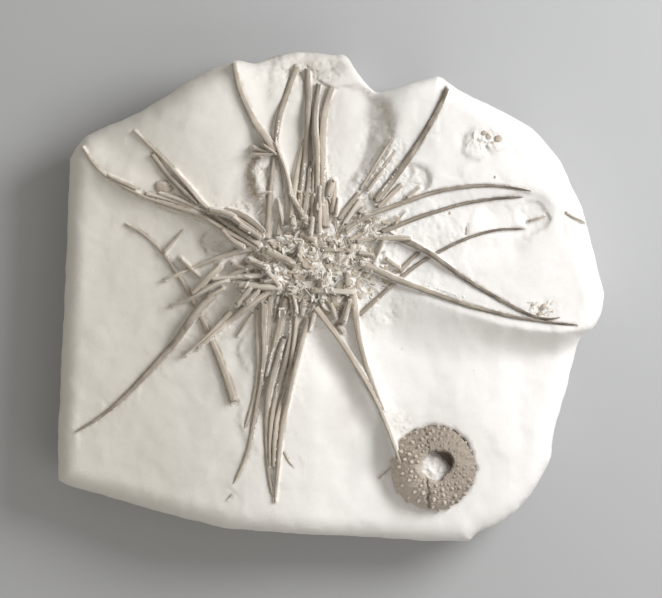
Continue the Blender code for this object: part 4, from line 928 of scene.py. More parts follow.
def chalk_block(rows, material):
    """The whole block: worked face, worn edge, broken sides and a flat underside."""
    outline = smooth_route(closed(OUTLINE), 1.5)[0][:-1]
    outline = np.clip(outline, (-128.0, -114.95), (128.0, 114.95))
    inward = 0.45 + 0.35 * swell(*outline.T, 7, 40) + 0.15 * swell(*outline.T, 2.5, 41)
    outline = outline * (1 - np.clip(inward, 0.05, None) / np.hypot(*outline.T))[:, None]
    plan, faces = plan_mesh(outline, *nested_points(outline, rows))
    z, stain_and_shade = worked_face(*plan.T, rows)
    count = len(outline)
    rim = np.column_stack([plan[:count], z[:count]])
    around = travelled(rim)
    points, stain_and_shade_rings = [np.column_stack([plan, z])], [stain_and_shade]
    shares, insets = np.array(((1.0, 0.0),) + UNDERCUT).T
    for share in 1.0 - np.arange(1, SIDE_RINGS + 1) / SIDE_RINGS:
        inset = np.interp(-share, -shares, insets)
        level = np.full(count, share * 34)
        _, own = shards(around, level, 9.0, 63)
        broken = (1.4 * own[..., 0] + 0.5 * own[..., 2] * (own[..., 1] - 0.5) * 4
                  + 0.5 * swell(around, level, 3.5, 61)) * ramp((1 - share) / 0.25)
        inset = inset * (1 + 0.6 * swell(around, level, 45, 60)) + np.clip(broken, 0, None)
        drawn = 1.0 - inset / np.hypot(*plan[:count].T)
        points.append(np.column_stack([plan[:count] * drawn[:, None], rim[:, 2] * share]))
        stain_and_shade_rings.append(np.full(count, 0.2))
    faces += ring_faces(0, len(plan), count) + stack_faces(SIDE_RINGS, count, len(plan), (-1,))
    grey_and_shade_values = np.concatenate([grey_and_shade(*plan.T), np.zeros(count * SIDE_RINGS)])
    piece("worked_chalk_block", np.vstack(points), faces, material, "chalk_block",
          {"stain_and_shade": np.concatenate(stain_and_shade_rings), "grey_and_shade_share": grey_and_shade_values})


def heap(rows, material):
    """The rough bed of the crushed test."""
    outline = smooth_route(closed(HEAP_OUTLINE), 0.5)[0][:-1]
    outline = outline + 0.9 * np.column_stack([swell(*outline.T, 4, 80), swell(*outline.T, 4, 81)])
    x, y = strewn(*grid((-110, 90), (-40, 100)), HEAP_SPACING, 0.2 * HEAP_SPACING, 63)
    plan, faces = plan_mesh(outline, *well_inside(x, y, outline, 0.25))
    z, tone = heap_face(*plan.T, rows)
    count = len(outline)
    chalk = relief(*plan[:count].T)
    z[:count] = chalk - 0.6
    points = np.vstack([np.column_stack([plan, z]), np.column_stack([plan[:count], chalk - 3.0])])
    faces += ring_faces(0, len(plan), count) + stack_faces(1, count, len(plan), (-1,))
    piece("crushed_plates", points, faces, material, "crushed_test",
          {"tone": np.concatenate([tone, np.zeros(count)])})


def tube(row, seed, sides=SPINE_SIDES, jag=0.6):
    """A fluted, slightly uneven rod with splintered ends, as points, faces and fibre coordinates."""
    draw = random.Random(seed)
    path, radius = row[:, :3], row[:, 3]
    at = np.concatenate([[0.0], np.cumsum(np.linalg.norm(np.diff(path, axis=0), axis=1))])
    heading = headings(path)
    side = np.column_stack([heading[:, 1], -heading[:, 0], np.zeros(len(heading))])
    side /= np.linalg.norm(side, axis=1)[:, None]
    up = np.cross(side, heading)
    around = np.arange(sides) * math.tau / sides
    fluting = sum(draw.uniform(0.01, 0.03) * np.cos(k * around + draw.uniform(0, math.tau))
                  for k in (3, 4, 5, 7, 9))
    fibres = np.array([draw.uniform(-0.025, 0.025) for _ in range(sides)])
    seeds = np.full(len(at), seed * 7.7)
    unevenness = 1.0 + 0.03 * swell(at, seeds, 11, 70) + 0.02 * swell(at, seeds, 3, 71)
    oblong = 1.0 + 0.06 * np.cos(2 * (around - draw.uniform(0, math.pi)))
    size = radius[:, None] * unevenness[:, None] * (1.0 + fluting + fibres) * oblong
    bite = swell(at[:, None] + 0 * around, around * radius.mean() * 2 + seed * 5.3, 3.2, 72)
    size = size * (1.0 - 0.5 * np.clip(bite - 0.5, 0, 1))
    splinter = np.array([draw.uniform(-jag, jag) for _ in range(sides)])
    splinter = (splinter + np.roll(splinter, 1)) / 2
    near_start = np.clip(1.0 - at / (2.2 * radius[0]), 0, 1)
    near_end = np.clip(1.0 - (at[-1] - at) / (2.2 * radius[-1]), 0, 1)
    shift = near_start[:, None] * splinter * radius[0]
    shift = shift + near_end[:, None] * np.roll(splinter, sides // 3) * radius[-1]
    if radius[-1] < 0.75:
        size = size * (np.clip((at[-1] - at) / 5.0, 0.05, 1.0) ** 0.6)[:, None]
    wide, tall = (np.sign(part) * np.abs(part) ** 0.75 for part in (np.cos(around), np.sin(around)))
    points = (path[:, None] + size[..., None] * (wide[None, :, None] * side[:, None]
                                                 + tall[None, :, None] * up[:, None])
              + shift[..., None] * heading[:, None]).reshape(-1, 3)
    fibre = np.stack([np.cos(around) * radius.mean() + 0 * at[:, None],
                      np.sin(around) * radius.mean() + 0 * at[:, None],
                      at[:, None] + 0 * around], axis=-1).reshape(-1, 3)
    top = (np.sin(around) + 0 * at[:, None]).ravel()
    last, base, tip = (len(at) - 1) * sides, len(points), len(points) + 1
    faces = stack_faces(len(at), sides, caps=())
    faces += [(base, (i + 1) % sides, i) for i in range(sides)]
    faces += [(tip, last + i, last + (i + 1) % sides) for i in range(sides)]
    points = np.vstack([points, path[0] + heading[0] * 0.15 * radius[0],
                        path[-1] + heading[-1] * 0.1 * radius[-1]])
    fibre = np.vstack([fibre, [[0, 0, at[0]], [0, 0, at[-1]]]]) + np.array([13.7, 7.1, 31.3]) * seed
    return points, faces, fibre, np.concatenate([top, [0.0, 0.0]])


def spine_piece(name, row, seed, skin_and_light, material):
    """One long spine, browner or paler from its thick end to its point as its table says; the paler part is
    partly painted light.
    """
    body, faces, fibre, top = tube(row, seed)
    share = np.clip((fibre[:, 2] - fibre[:, 2].min()) / np.ptp(fibre[:, 2]), 0, 1)
    piece("long_spine_" + name, body, faces, material, "spine_" + name,
          {"fibre": fibre, "top": top, "brown": skin_and_light[0] + (skin_and_light[1] - skin_and_light[0]) * share})


def small_spines(rows, material):
    """Short pieces of broken spine, joined in one mesh."""
    points, faces, fibres, tops, count = [], [], [], [], 0
    for index, row in enumerate(rows):
        body, sides, fibre, top = tube(row, 200 + index, 14, 0.9)
        points.append(body)
        faces += [tuple(count + i for i in face) for face in sides]
        fibres.append(fibre)
        tops.append(top)
        count += len(body)
    piece("broken_spines", np.vstack(points), faces, material, None,
          {"fibre": np.vstack(fibres), "top": np.concatenate(tops), "brown": np.full(count, 0.1)})


def small_test(material):
    """The round test: a beaded dome with two cracks, and a wall that turns down into its opening."""
    profile = np.vstack([TEST_WALL, smooth_route(TEST_FACE, 0.2)[0]])
    length = travelled(profile)
    at = np.linspace(0, length[-1], TEST_ALONG)
    r, h = (np.interp(at, length, column) for column in profile.T)
    around = np.linspace(0, math.tau, TEST_AROUND, endpoint=False)
    c, s = np.cos(around), np.sin(around)
    shift = ramp((15.0 - r) / 8.0)[:, None]
    lobed = 1 + 0.012 * np.cos(5 * around + 0.4) + 0.006 * np.cos(2 * around)
    bays = 0.16 * swell(c * 1.5, s * 1.5, 1.0, 110) + 0.05 * swell(c * 6, s * 6, 1.0, 112)
    lobed = TEST_SHRINK * lobed * (1 + ramp((10.5 - r) / 3.5)[:, None] * bays)
    x = TEST_MIDDLE[0] + shift * (TEST_OPENING[0] - TEST_CENTRE[0]) + r[:, None] * lobed * c
    y = TEST_MIDDLE[1] + shift * (TEST_OPENING[1] - TEST_CENTRE[1]) + r[:, None] * lobed * s
    broken = np.clip(np.cos(around - 0.75), 0, 1) ** 1.5 * (1.1 + 0.5 * swell(6 * around, around, 1.0, 115))
    broken = broken * (ramp((h - 10) / 3) * ramp((9.5 - r) / 1.6))[:, None]
    x, y = x + broken * c, y + broken * s
    z = TEST_SEAT + h[:, None] + 0 * x
    z = z + 0.35 * swell(x, y, 11, 111) * ramp(h / 8.0)[:, None]
    lift = boss_field(x, y, z, r)
    crack_x = x + 0.5 * swell(x, y, 1.6, 113) + 0.25 * swell(x, y, 0.5, 114)
    for path in CRACKS:
        away, values = near_path(crack_x, y, path)
        lift = lift - values[..., 1] * np.exp(-(away / values[..., 0]) ** 2) * ramp((h - 1) / 4)[:, None]
    run = headings(np.column_stack([r, h]))
    out, up = -run[:, 1:2], run[:, 0:1]
    points = np.stack([x + lift * out * c, y + lift * out * s, z + lift * up], axis=-1).reshape(-1, 3)
    # the inner wall of the opening is mixed dark brown, partly the calcite's colour and partly painted shade
    # inside the opening
    wall = np.repeat(ramp((13.6 - h) / 1.6) * (r < 8), TEST_AROUND)
    piece("beaded_test", points, stack_faces(TEST_ALONG, TEST_AROUND), material, "sea_urchin_test",
          {"boss": np.clip(lift.ravel() / 1.2, -1, 1), "wall": wall})


def boss_places():
    """Where the bosses stand: those seen from above, then a few more low on the sides."""
    places = []
    radius, height = np.array(TEST_FACE, float).T
    for x, y in BOSSES:
        far = math.hypot(x - TEST_MIDDLE[0], y - TEST_MIDDLE[1]) / TEST_SHRINK
        places.append((x, y, TEST_SEAT + float(np.interp(far, radius, height))))
    draw = random.Random(12)
    for ring, (r, h) in enumerate(SIDE_BOSSES):
        for index in range(24):
            angle = math.tau * (index + 0.5 * ring + draw.uniform(-0.15, 0.15)) / 24
            spot = (TEST_MIDDLE[0] + r * math.cos(angle), TEST_MIDDLE[1] + r * math.sin(angle),
                    TEST_SEAT + h)
            if all(math.dist(spot, other) > 3.2 for other in places):
                places.append(spot)
    return places


def boss_field(x, y, z, r):
    """Height of the bosses, the sunken rings round them and the small beads between them."""
    lift, ring = np.zeros(x.shape), np.zeros(x.shape)
    draw = random.Random(5)
    for place in boss_places():
        far = math.hypot(place[0] - TEST_OPENING[0], place[1] - TEST_OPENING[1])
        size = draw.uniform(0.85, 1.1) * (0.60 + 0.45 * min(1.0, (far - 6) / 9))
        away = np.sqrt((x - place[0]) ** 2 + (y - place[1]) ** 2 + 0.2 * (z - place[2]) ** 2)
        lift = np.maximum(lift, size * (0.75 * np.exp(-(away / (0.78 * size)) ** 3)
                                        + 0.65 * np.exp(-(away / (0.42 * size)) ** 2)))
        ring = np.maximum(ring, np.exp(-((away - 1.3 * size) / 0.35) ** 2))
    crack, own = shards(x + z * 0.6, y + z * 0.4, 1.0, 120)
    beads = 0.42 * np.clip(crack * 2.2, 0, 1) * own[..., 0] ** 1.5
    outside = ramp((r - 7.2) / 1.5)[:, None]
    return (lift + (beads * (1 - ring) - 0.15 * ring) * (lift < 0.2)) * outside + 0.14 * swell(x, y, 3, 121)


def opening_fill(material):
    """The chalk inside the opening, higher at its lower left and sunk at its upper right."""
    sides, rings, reach = 72, 26, 8.6
    angles = np.linspace(0, math.tau, sides, endpoint=False)
    share = np.arange(1, rings + 1)[:, None] / rings
    x = TEST_OPENING[0] + TEST_SHIFT[0] + reach * share * np.cos(angles)
    y = TEST_OPENING[1] + TEST_SHIFT[1] + reach * share * np.sin(angles)
    tilt = (-(x - TEST_OPENING[0]) - (y - TEST_OPENING[1])) / 9.0
    z = TEST_SEAT + 10.4 + 1.6 * tilt - 2.0 * ramp((-tilt - 0.1) / 0.7)
    z = z + 0.9 * swell(x, y, 3.3, 130) + 0.4 * swell(x, y, 1.3, 131)
    points = np.vstack([[[*TEST_OPENING, TEST_SEAT + 10.4]],
                        np.column_stack([x.ravel(), y.ravel(), z.ravel()]),
                        np.column_stack([x[-1], y[-1], np.full(sides, TEST_SEAT + 4.0)])])
    faces = [(0, 1 + i, 1 + (i + 1) % sides) for i in range(sides)]
    faces += stack_faces(rings + 1, sides, 1, (-1,))
    piece("chalk_in_opening", points, faces, material, None,
          {"stain_and_shade": np.full(len(points), 0.5), "grey_and_shade_share": np.full(len(points), 0.1)})


# ---------------------------------------------------------------- crumbs, chips and fragments
def facing(direction):
    """A matrix that turns a thing's top towards a direction."""
    return np.array(Vector(direction).normalized().to_track_quat("Z", "Y").to_matrix())


def turned(turn, rise=0.0, roll=0.0):
    """A matrix that rolls a thing over, lifts its end and turns it."""
    c, d, e, f, g, h = (part(angle) for angle in (turn, rise, roll) for part in (math.cos, math.sin))
    lifted = np.array(((c, -d, 0), (d, c, 0), (0, 0, 1))) @ np.array(((e, 0, -f), (0, 1, 0), (f, 0, e)))
    return lifted @ np.array(((1, 0, 0), (0, g, -h), (0, h, g)))


class Pile:
    """Many small things joined in one mesh, each with its own tone."""

    def __init__(self, seed):
        self.draw = random.Random(seed)
        self.points, self.faces, self.tones, self.count = [], [], [], 0

    def add(self, points, faces, tone=None):
        """Take in one thing, let down where it would stand too high."""
        self.points.append(points - (0, 0, max(0.0, points[:, 2].max() - HIGHEST)))
        self.faces += [tuple(self.count + i for i in face) for face in faces]
        self.tones += [self.draw.random() if tone is None else tone] * len(points)
        self.count += len(points)

    def slab(self, flat, level, profile, spin, spot, tone):
        """A flat thing: its outline drawn in or out at each level of its edge."""
        rings = [np.column_stack([flat * width, level + rise]) for width, rise in profile]
        self.add(np.vstack(rings) @ spin.T + spot, stack_faces(len(rings), len(flat)), tone)

    def crumb(self, spot, size, flat=1.0):
        """An angular lump."""
        spin = facing([self.draw.uniform(-1, 1) for _ in range(3)])
        stretch = np.array([self.draw.uniform(0.6, 1.3) for _ in range(3)])
        uneven = 1 + 0.3 * np.array([[self.draw.uniform(-1, 1)] for _ in LUMP_POINTS])
        shape = (LUMP_POINTS * uneven * stretch * size) @ spin.T
        self.add(shape * (1, 1, flat) + spot, LUMP_FACES)

    def plate(self, spot, size, thick, lean, tone=None):
        """A broken plate with an uneven edge, leaning a little."""
        sides = self.draw.randint(4, 7)
        around = self.draw.uniform(0, math.tau) + np.arange(sides) * math.tau / sides
        reach = size * np.array([self.draw.uniform(0.55, 1.15) for _ in range(sides)])
        flat = np.column_stack([reach * np.cos(around), self.draw.uniform(0.4, 0.9) * reach * np.sin(around)])
        spin = facing((self.draw.uniform(-lean, lean), self.draw.uniform(-lean, lean), 1))
        spin = spin @ turned(self.draw.uniform(0, math.tau))
        profile = ((0.9, thick / 2), (1.0, thick / 6), (0.94, -thick / 2))
        self.slab(flat, np.zeros(sides), profile, spin, spot, tone)

    def needle(self, spot, length, thick, turn, rise):
        """A thin splinter with five sides, coming to a point."""
        around = np.arange(5) * math.tau / 5
        ring = np.column_stack([np.zeros(5), thick * np.cos(around), 0.8 * thick * np.sin(around)])
        rings = [ring * width + (length * at, 0, 0) for at, width in ((-0.5, 0.8), (-0.1, 1.0), (0.3, 0.7))]
        shape = np.vstack(rings + [[[length * 0.5, 0, 0]]]) @ turned(turn, rise).T
        tip = [(10 + i, 10 + (i + 1) % 5, 15) for i in range(5)]
        self.add(shape + spot, stack_faces(3, 5, caps=(0,)) + tip)

    def flake(self, spot, length, width, thick, turn, lean, tone=None):
        """A long flat sliver with worn edges and blunt, broken ends."""
        around = np.arange(8) * math.tau / 8 + 0.39
        reach = np.array([self.draw.uniform(0.75, 1.15) for _ in around])
        flat = np.column_stack([0.62 * length * np.cos(around) * reach, 0.6 * width * np.sin(around) * reach])
        level = np.array([self.draw.uniform(-0.12, 0.12) * thick for _ in around])
        profile = (((0.90, 0.72), thick / 2), (1.0, thick / 8), ((0.92, 0.8), -thick / 2))
        self.slab(flat, level, profile, turned(turn, *lean), spot, tone)

    def dome(self, spot, length, width, height, turn, tone):
        """A low rounded cap with a faintly lobed edge."""
        around = np.arange(28) * math.tau / 28
        lobes = 1 + 0.05 * np.cos(5 * around) + 0.03 * np.cos(8 * around + 1)
        flat = np.column_stack([length * np.cos(around) * lobes, width * np.sin(around) * lobes])
        profile = [(math.sin(angle), height * math.cos(angle)) for angle in (0.12, 0.45, 0.8, 1.15, 1.45)]
        profile.append((profile[-1][0], profile[-1][1] - height))
        self.slab(flat, np.zeros(28), profile, turned(turn), spot, tone)

    def place(self, name, material, slot):
        """Make the one mesh, with flat faces."""
        piece(name, np.vstack(self.points), self.faces, material, None,
              {"tone": np.array(self.tones)}, smooth=False)


def lump():
    """Points and faces of a rounded lump with twenty sides."""
    shape = bmesh.new()
    bmesh.ops.create_icosphere(shape, subdivisions=1, radius=1.0)
    points = np.array([v.co[:] for v in shape.verts])
    faces = [tuple(v.index for v in face.verts) for face in shape.faces]
    shape.free()
    return points, faces


LUMP_POINTS, LUMP_FACES = lump()


def chip_places(count, draw, rows):
    """Spots for chips: x, y, height of what lies there, and the gap to the nearest spine."""
    total = sum(field[3] for field in CHIP_FIELD)
    spots = []
    for centre, spread, turn, share in CHIP_FIELD:
        c, s = math.cos(math.radians(turn)), math.sin(math.radians(turn))
        for _ in range(int(count * share / total)):
            u, v = draw.gauss(0, 0.5) * spread[0], draw.gauss(0, 0.5) * spread[1]
            spots.append((centre[0] + u * c - v * s, centre[1] + u * s + v * c))
    x, y = np.array(spots).T
    broken = inside(x, y, HEAP_OUTLINE) | (patches(x, y, ROUGH) > 0.5)
    x, y = x[broken], y[broken]
    level, gap = top_height(x, y, rows)
    return [spot for spot in zip(x, y, level, gap) if spot[3] > 0.0 or draw.random() < 0.2]


def scatter_chips(rows, plates, chalk):
    """Chips, slivers and fibres of the crushed test, and crumbs of chalk among them."""
    draw = random.Random(31)
    pile, dust = Pile(32), Pile(33)
    for index, (x, y, level, gap) in enumerate(chip_places(CHIPS, draw, rows)):
        small = 0.55 if gap < 0.4 else 1.0
        outward = math.atan2(y - HUB[1], x - HUB[0])
        turn = draw.gauss(outward, 0.7) if draw.random() < 0.6 else draw.uniform(0, math.pi)
        kind = index % 12
        if 0.9 * patches(x, y, CHALKY) > draw.random():
            if index % 3 == 0:
                dust.crumb((x, y, level), small * (0.35 + 1.0 * draw.random() ** 3), 0.6)
        elif kind < 1:
            size = small * (0.4 + 0.8 * draw.random() ** 2)
            pile.crumb((x, y, level + 0.1 * size), size, 0.7)
        elif kind < 3:
            pile.plate((x, y, level + 0.1), small * draw.uniform(1.0, 3.0), draw.uniform(0.3, 0.7), 0.4)
        elif kind < 8:
            length = small * draw.uniform(2.0, 7.0)
            lean = (draw.uniform(-0.2, 0.3), draw.uniform(-0.5, 0.5))
            pile.flake((x, y, level + 0.1), length, length * draw.uniform(0.2, 0.5),
                       draw.uniform(0.4, 1.0), turn, lean)
        elif kind < 10:
            for strand in range(draw.randint(1, 4)):
                aside = 0.55 * strand
                spot = (x - aside * math.sin(turn), y + aside * math.cos(turn), level + 0.2)
                pile.needle(spot, small * draw.uniform(2.5, 8.0), draw.uniform(0.15, 0.38),
                            turn + draw.uniform(-0.1, 0.1), draw.uniform(-0.15, 0.25))
        else:
            size = small * (0.3 + 0.7 * draw.random() ** 2)
            dust.crumb((x, y, level + 0.15 * size), size, 0.8)
    pile.place("test_chips", plates, "crushed_plates")
    x, y = np.array([(draw.gauss(-6, 36), draw.gauss(16, 28)) for _ in range(CRUMBS)]).T
    wanted = patches(x, y, ROUGH) > np.array([draw.random() for _ in x])
    wanted &= inside(x, y, OUTLINE) & (from_test(x, y) > 21.5)
    x, y = x[wanted], y[wanted]
    for x, y, z, gap in zip(x, y, *top_height(x, y, rows)):
        if gap > 0.1:
            dust.crumb((x, y, z - 0.1), 0.2 + 0.55 * draw.random() ** 3, 0.45)
    dust.place("chalk_crumbs", chalk, "chalk")


def chalk_seams(rows, chalk):
    """Broken lines of chalk left between spines that lie side by side."""
    pile = Pile(51)
    for route in SEAMS:
        path = smooth_route(route, 0.42)[0]
        jitter = 0.16 * np.array([(pile.draw.gauss(0, 1), pile.draw.gauss(0, 1)) for _ in path])
        level, _ = top_height(*(path + jitter).T, rows)
        broken = swell(np.arange(len(path)) * 0.42, np.full(len(path), route[0][0]), 3.5, 150)
        for spot, z, gone in zip(path + jitter, level, broken):
            if gone < 0.35:
                pile.crumb((*spot, z - 0.05), pile.draw.uniform(0.25, 0.6), 0.7)
    pile.place("chalk_seams", chalk, "chalk")


def encrusting(rows, plates):
    """Fragments of other shells in the chalk."""
    pile = Pile(44)

    def on_top(*spot):
        """A spot in plan, at the height of what lies there."""
        return np.array((*spot, float(top_height(*np.array(spot)[:, None], rows)[0][0])))

    pile.dome(on_top(-77.5, 51) - (0, 0, 0.3), 4.6, 3.2, 1.7, -0.15, 0.25)
    pile.dome(on_top(78, 73.3) - (0, 0, 0.1), 1.8, 1.7, 0.7, 0.0, 0.1)
    pile.dome(on_top(71.3, 76) - (0, 0, 0.1), 1.5, 1.2, 0.8, 0.4, 0.35)
    for x, y, size in ((73.5, 74.3, 1.9), (74.8, 71.5, 1.6)):
        pile.plate(on_top(x, y) + (0, 0, 0.1), size, 0.7, 0.3, 0.2)
    for x, y in ((64.5, 71), (67, 74.5)):
        pile.flake(on_top(x, y) + (0, 0, 0.1), 4.5, 1.6, 0.7, pile.draw.uniform(0, 3), (0.1, 0.3), 0.7)
    for x, y, size in ((94, -4, 1.3), (99, -5, 1.6), (103, -7, 1.2), (97, -8, 1.4), (30, -7, 0.6),
                       (67.3, -34.5, 0.7), (33.7, -24.2, 0.5), (55.5, 38.7, 0.9), (76.5, 55.5, 0.8)):
        pile.crumb(on_top(x, y), size, 0.6)
    for _ in range(12):
        spot = on_top(pile.draw.uniform(91, 104), pile.draw.uniform(-9, -2)) + (0, 0, 0.1)
        pile.flake(spot, pile.draw.uniform(1.2, 4.0), pile.draw.uniform(0.4, 1.1), 0.4,
                   pile.draw.uniform(-1.2, 1.2), (pile.draw.uniform(-0.3, 0.3), pile.draw.uniform(-0.6, 0.6)),
                   pile.draw.uniform(0.5, 1.0))
    pile.place("encrusting_fragments", plates, "crushed_plates")


# ---------------------------------------------------------------- shaders
def node_group(name, inputs, outputs):
    """An empty group with its sockets, and its input and output nodes."""
    group = bpy.data.node_groups.new(name, "ShaderNodeTree")
    for label, kind, value in inputs:
        socket = group.interface.new_socket(label, in_out="INPUT", socket_type=kind)
        if value is not None:
            socket.default_value = value
    for label, kind in outputs:
        group.interface.new_socket(label, in_out="OUTPUT", socket_type=kind)
    return group, group.nodes.new("NodeGroupInput"), group.nodes.new("NodeGroupOutput")


def add_noise(tree, vector, scale, detail=4.0, rough=0.6, stretch=None):
    node = tree.nodes.new("ShaderNodeTexNoise")
    node.inputs["Scale"].default_value = scale
    node.inputs["Detail"].default_value = detail
    node.inputs["Roughness"].default_value = rough
    if stretch:
        mapping = tree.nodes.new("ShaderNodeMapping")
        mapping.inputs["Scale"].default_value = stretch
        tree.links.new(vector, mapping.inputs["Vector"])
        vector = mapping.outputs["Vector"]
    tree.links.new(vector, node.inputs["Vector"])
    return node.outputs["Fac"]


def span(tree, value, low, high, to_low=0.0, to_high=1.0):
    node = tree.nodes.new("ShaderNodeMapRange")
    for socket, number in zip(node.inputs[1:5], (low, high, to_low, to_high)):
        socket.default_value = number
    tree.links.new(value, node.inputs[0])
    return node.outputs[0]


def math_node(tree, operation, first, second):
    node = tree.nodes.new("ShaderNodeMath")
    node.operation = operation
    for socket, value in zip(node.inputs, (first, second)):
        if isinstance(value, (int, float)):
            socket.default_value = value
        else:
            tree.links.new(value, socket)
    return node.outputs[0]


def blend_colours(tree, share, first, second):
    """One colour over another by a share."""
    node = tree.nodes.new("ShaderNodeMix")
    node.data_type = "RGBA"
    for socket, value in ((node.inputs[0], share), (node.inputs[6], first), (node.inputs[7], second)):
        if isinstance(value, (int, float)):
            socket.default_value = value
        elif isinstance(value, tuple):
            socket.default_value = (*value, 1.0)
        else:
            tree.links.new(value, socket)
    return node.outputs[2]


def coats(tree, colour, *layers):
    """Colours laid one over another, each as (share, colour)."""
    for share, coat in layers:
        colour = blend_colours(tree, share, colour, coat)
    return colour


def over(tree, source, label):
    """The place handed to a group, divided by one of its sizes."""
    scaled = tree.nodes.new("ShaderNodeVectorMath")
    scaled.operation = "DIVIDE"
    tree.links.new(source.outputs["Place"], scaled.inputs[0])
    tree.links.new(source.outputs[label], scaled.inputs[1])
    return scaled.outputs[0]


def weighed(tree, first, first_share, second, second_share):
    """The sum of two values, each by its share."""
    return math_node(tree, "ADD", math_node(tree, "MULTIPLY", first, first_share),
                     math_node(tree, "MULTIPLY", second, second_share))


def grain_group():
    """Fine mineral grain: a mottled share and the height of its pits, at a given size."""
    group, source, result = node_group(
        "mineral_grain", (("Place", "NodeSocketVector", None), ("Size", "NodeSocketFloat", 1.0)),
        (("Mottle", "NodeSocketFloat"), ("Height", "NodeSocketFloat")))
    place = over(group, source, "Size")
    coarse = add_noise(group, place, 0.35, 5.0, 0.55)
    fine = add_noise(group, place, 2.2, 4.0, 0.7)
    pits = group.nodes.new("ShaderNodeTexVoronoi")
    pits.inputs["Scale"].default_value = 1.4
    group.links.new(place, pits.inputs["Vector"])
    dents = span(group, pits.outputs["Distance"], 0.0, 0.35, 0.0, 0.4)
    height = math_node(group, "ADD", math_node(group, "MULTIPLY", fine, 0.8), dents)
    height = math_node(group, "ADD", height, math_node(group, "MULTIPLY", coarse, 0.6))
    group.links.new(weighed(group, coarse, 0.6, fine, 0.4), result.inputs["Mottle"])
    group.links.new(height, result.inputs["Height"])
    return group


def chalk_dust_group():
    """Pale dust that lies in patches over a colour."""
    group, source, result = node_group(
        "chalk_dust", (("Place", "NodeSocketVector", None), ("Colour", "NodeSocketColor", None),
                       ("Amount", "NodeSocketFloat", 0.5), ("Patch", "NodeSocketFloat", 1.0)),
        (("Colour", "NodeSocketColor"), ("Mask", "NodeSocketFloat")))
    cloud = add_noise(group, over(group, source, "Patch"), 0.6, 6.0, 0.65)
    lifted = math_node(group, "ADD", cloud, math_node(group, "SUBTRACT", source.outputs["Amount"], 0.5))
    mask = span(group, lifted, 0.56, 0.72)
    colour = blend_colours(group, mask, source.outputs["Colour"], (0.74, 0.70, 0.63))
    group.links.new(colour, result.inputs["Colour"])
    group.links.new(mask, result.inputs["Mask"])
    return group


def use_group(tree, group, **values):
    """The outputs of a shared group, with its inputs set or joined."""
    node = tree.nodes.new("ShaderNodeGroup")
    node.node_tree = group
    for label, value in values.items():
        if isinstance(value, (int, float)):
            node.inputs[label].default_value = value
        else:
            tree.links.new(value, node.inputs[label])
    return node.outputs


def blank_material(name, roughness):
    material = bpy.data.materials.new(name)
    material.use_nodes = True
    tree = material.node_tree
    shader = tree.nodes["Principled BSDF"]
    shader.inputs["Roughness"].default_value = roughness
    shader.inputs["Specular IOR Level"].default_value = 0.25
    return material, tree, shader


def millimetres(tree):
    """The point on the model in millimetres."""
    place = tree.nodes.new("ShaderNodeTexCoord")
    scaled = tree.nodes.new("ShaderNodeVectorMath")
    scaled.operation = "SCALE"
    scaled.inputs["Scale"].default_value = 1.0 / MM
    tree.links.new(place.outputs["Object"], scaled.inputs[0])
    return scaled.outputs[0]


def attribute(tree, name, output="Fac"):
    """A value stored at the points of a mesh."""
    node = tree.nodes.new("ShaderNodeAttribute")
    node.attribute_name = name
    return node.outputs[output]


def finish(tree, shader, colour, height, strength, distance):
    """Give a material its colour and its small relief."""
    node = tree.nodes.new("ShaderNodeBump")
    node.inputs["Strength"].default_value = strength
    node.inputs["Distance"].default_value = distance * MM
    tree.links.new(height, node.inputs["Height"])
    tree.links.new(node.outputs["Normal"], shader.inputs["Normal"])
    tree.links.new(colour, shader.inputs["Base Color"])


def chalk_material(grain):
    """Dry chalk: warm white and faintly clouded, with grey-brown specks, brown patches in its hollows, greyer
    patches that are partly painted shade, darker and warmer to the left as painted shade, and painted shade
    between spines and along low edges.
    """
    material, tree, shader = blank_material("worked_chalk", 0.95)
    place = millimetres(tree)
    fine = use_group(tree, grain, Place=place, Size=0.9)
    broad = use_group(tree, grain, Place=place, Size=14.0)
    cloud = span(tree, broad["Mottle"], 0.35, 0.65, 0.0, 0.5)
    # painted shade: the chalk is mixed darker and warmer towards the left edge, where the face turns away
    # from the light
    across = tree.nodes.new("ShaderNodeSeparateXYZ")
    tree.links.new(place, across.inputs[0])
    painted_left_shade = span(tree, across.outputs["X"], 20.0, -85.0)
    colour = blend_colours(tree, painted_left_shade, (0.825, 0.812, 0.795), (0.765, 0.735, 0.675))
    colour = blend_colours(tree, cloud, colour, blend_colours(tree, 0.10, colour, (0.60, 0.55, 0.47)))
    tone = span(tree, fine["Mottle"], 0.3, 0.75)
    colour = blend_colours(tree, tone, blend_colours(tree, 0.10, colour, (0.45, 0.40, 0.33)), colour)
    # brown patches on dirty chalk, and painted shade with some brown: deep brown where the value passes one,
    # in the narrow gaps between packed spines and on the walls of low edges
    stain_and_shade_share = attribute(tree, "stain_and_shade")
    patch = span(tree, add_noise(tree, place, 0.45, 5.0, 0.7), 0.42, 0.66)
    deep = span(tree, stain_and_shade_share, 1.0, 1.8, 0.0, 0.65)
    amount = math_node(tree, "MAXIMUM", math_node(tree, "MULTIPLY", stain_and_shade_share, patch), deep)
    specks = span(tree, add_noise(tree, place, 1.1, 2.0, 0.5), 0.735, 0.77)
    # greyer patches, partly painted shade, then the brown and deep brown, then specks
    colour = coats(tree, colour,
                   (attribute(tree, "grey_and_shade_share"), (0.59, 0.565, 0.52)),
                   (amount, (0.44, 0.365, 0.28)),
                   (math_node(tree, "MULTIPLY", specks, 0.35), (0.30, 0.26, 0.21)))
    finish(tree, shader, colour, fine["Height"], 0.35, 0.35)
    return material


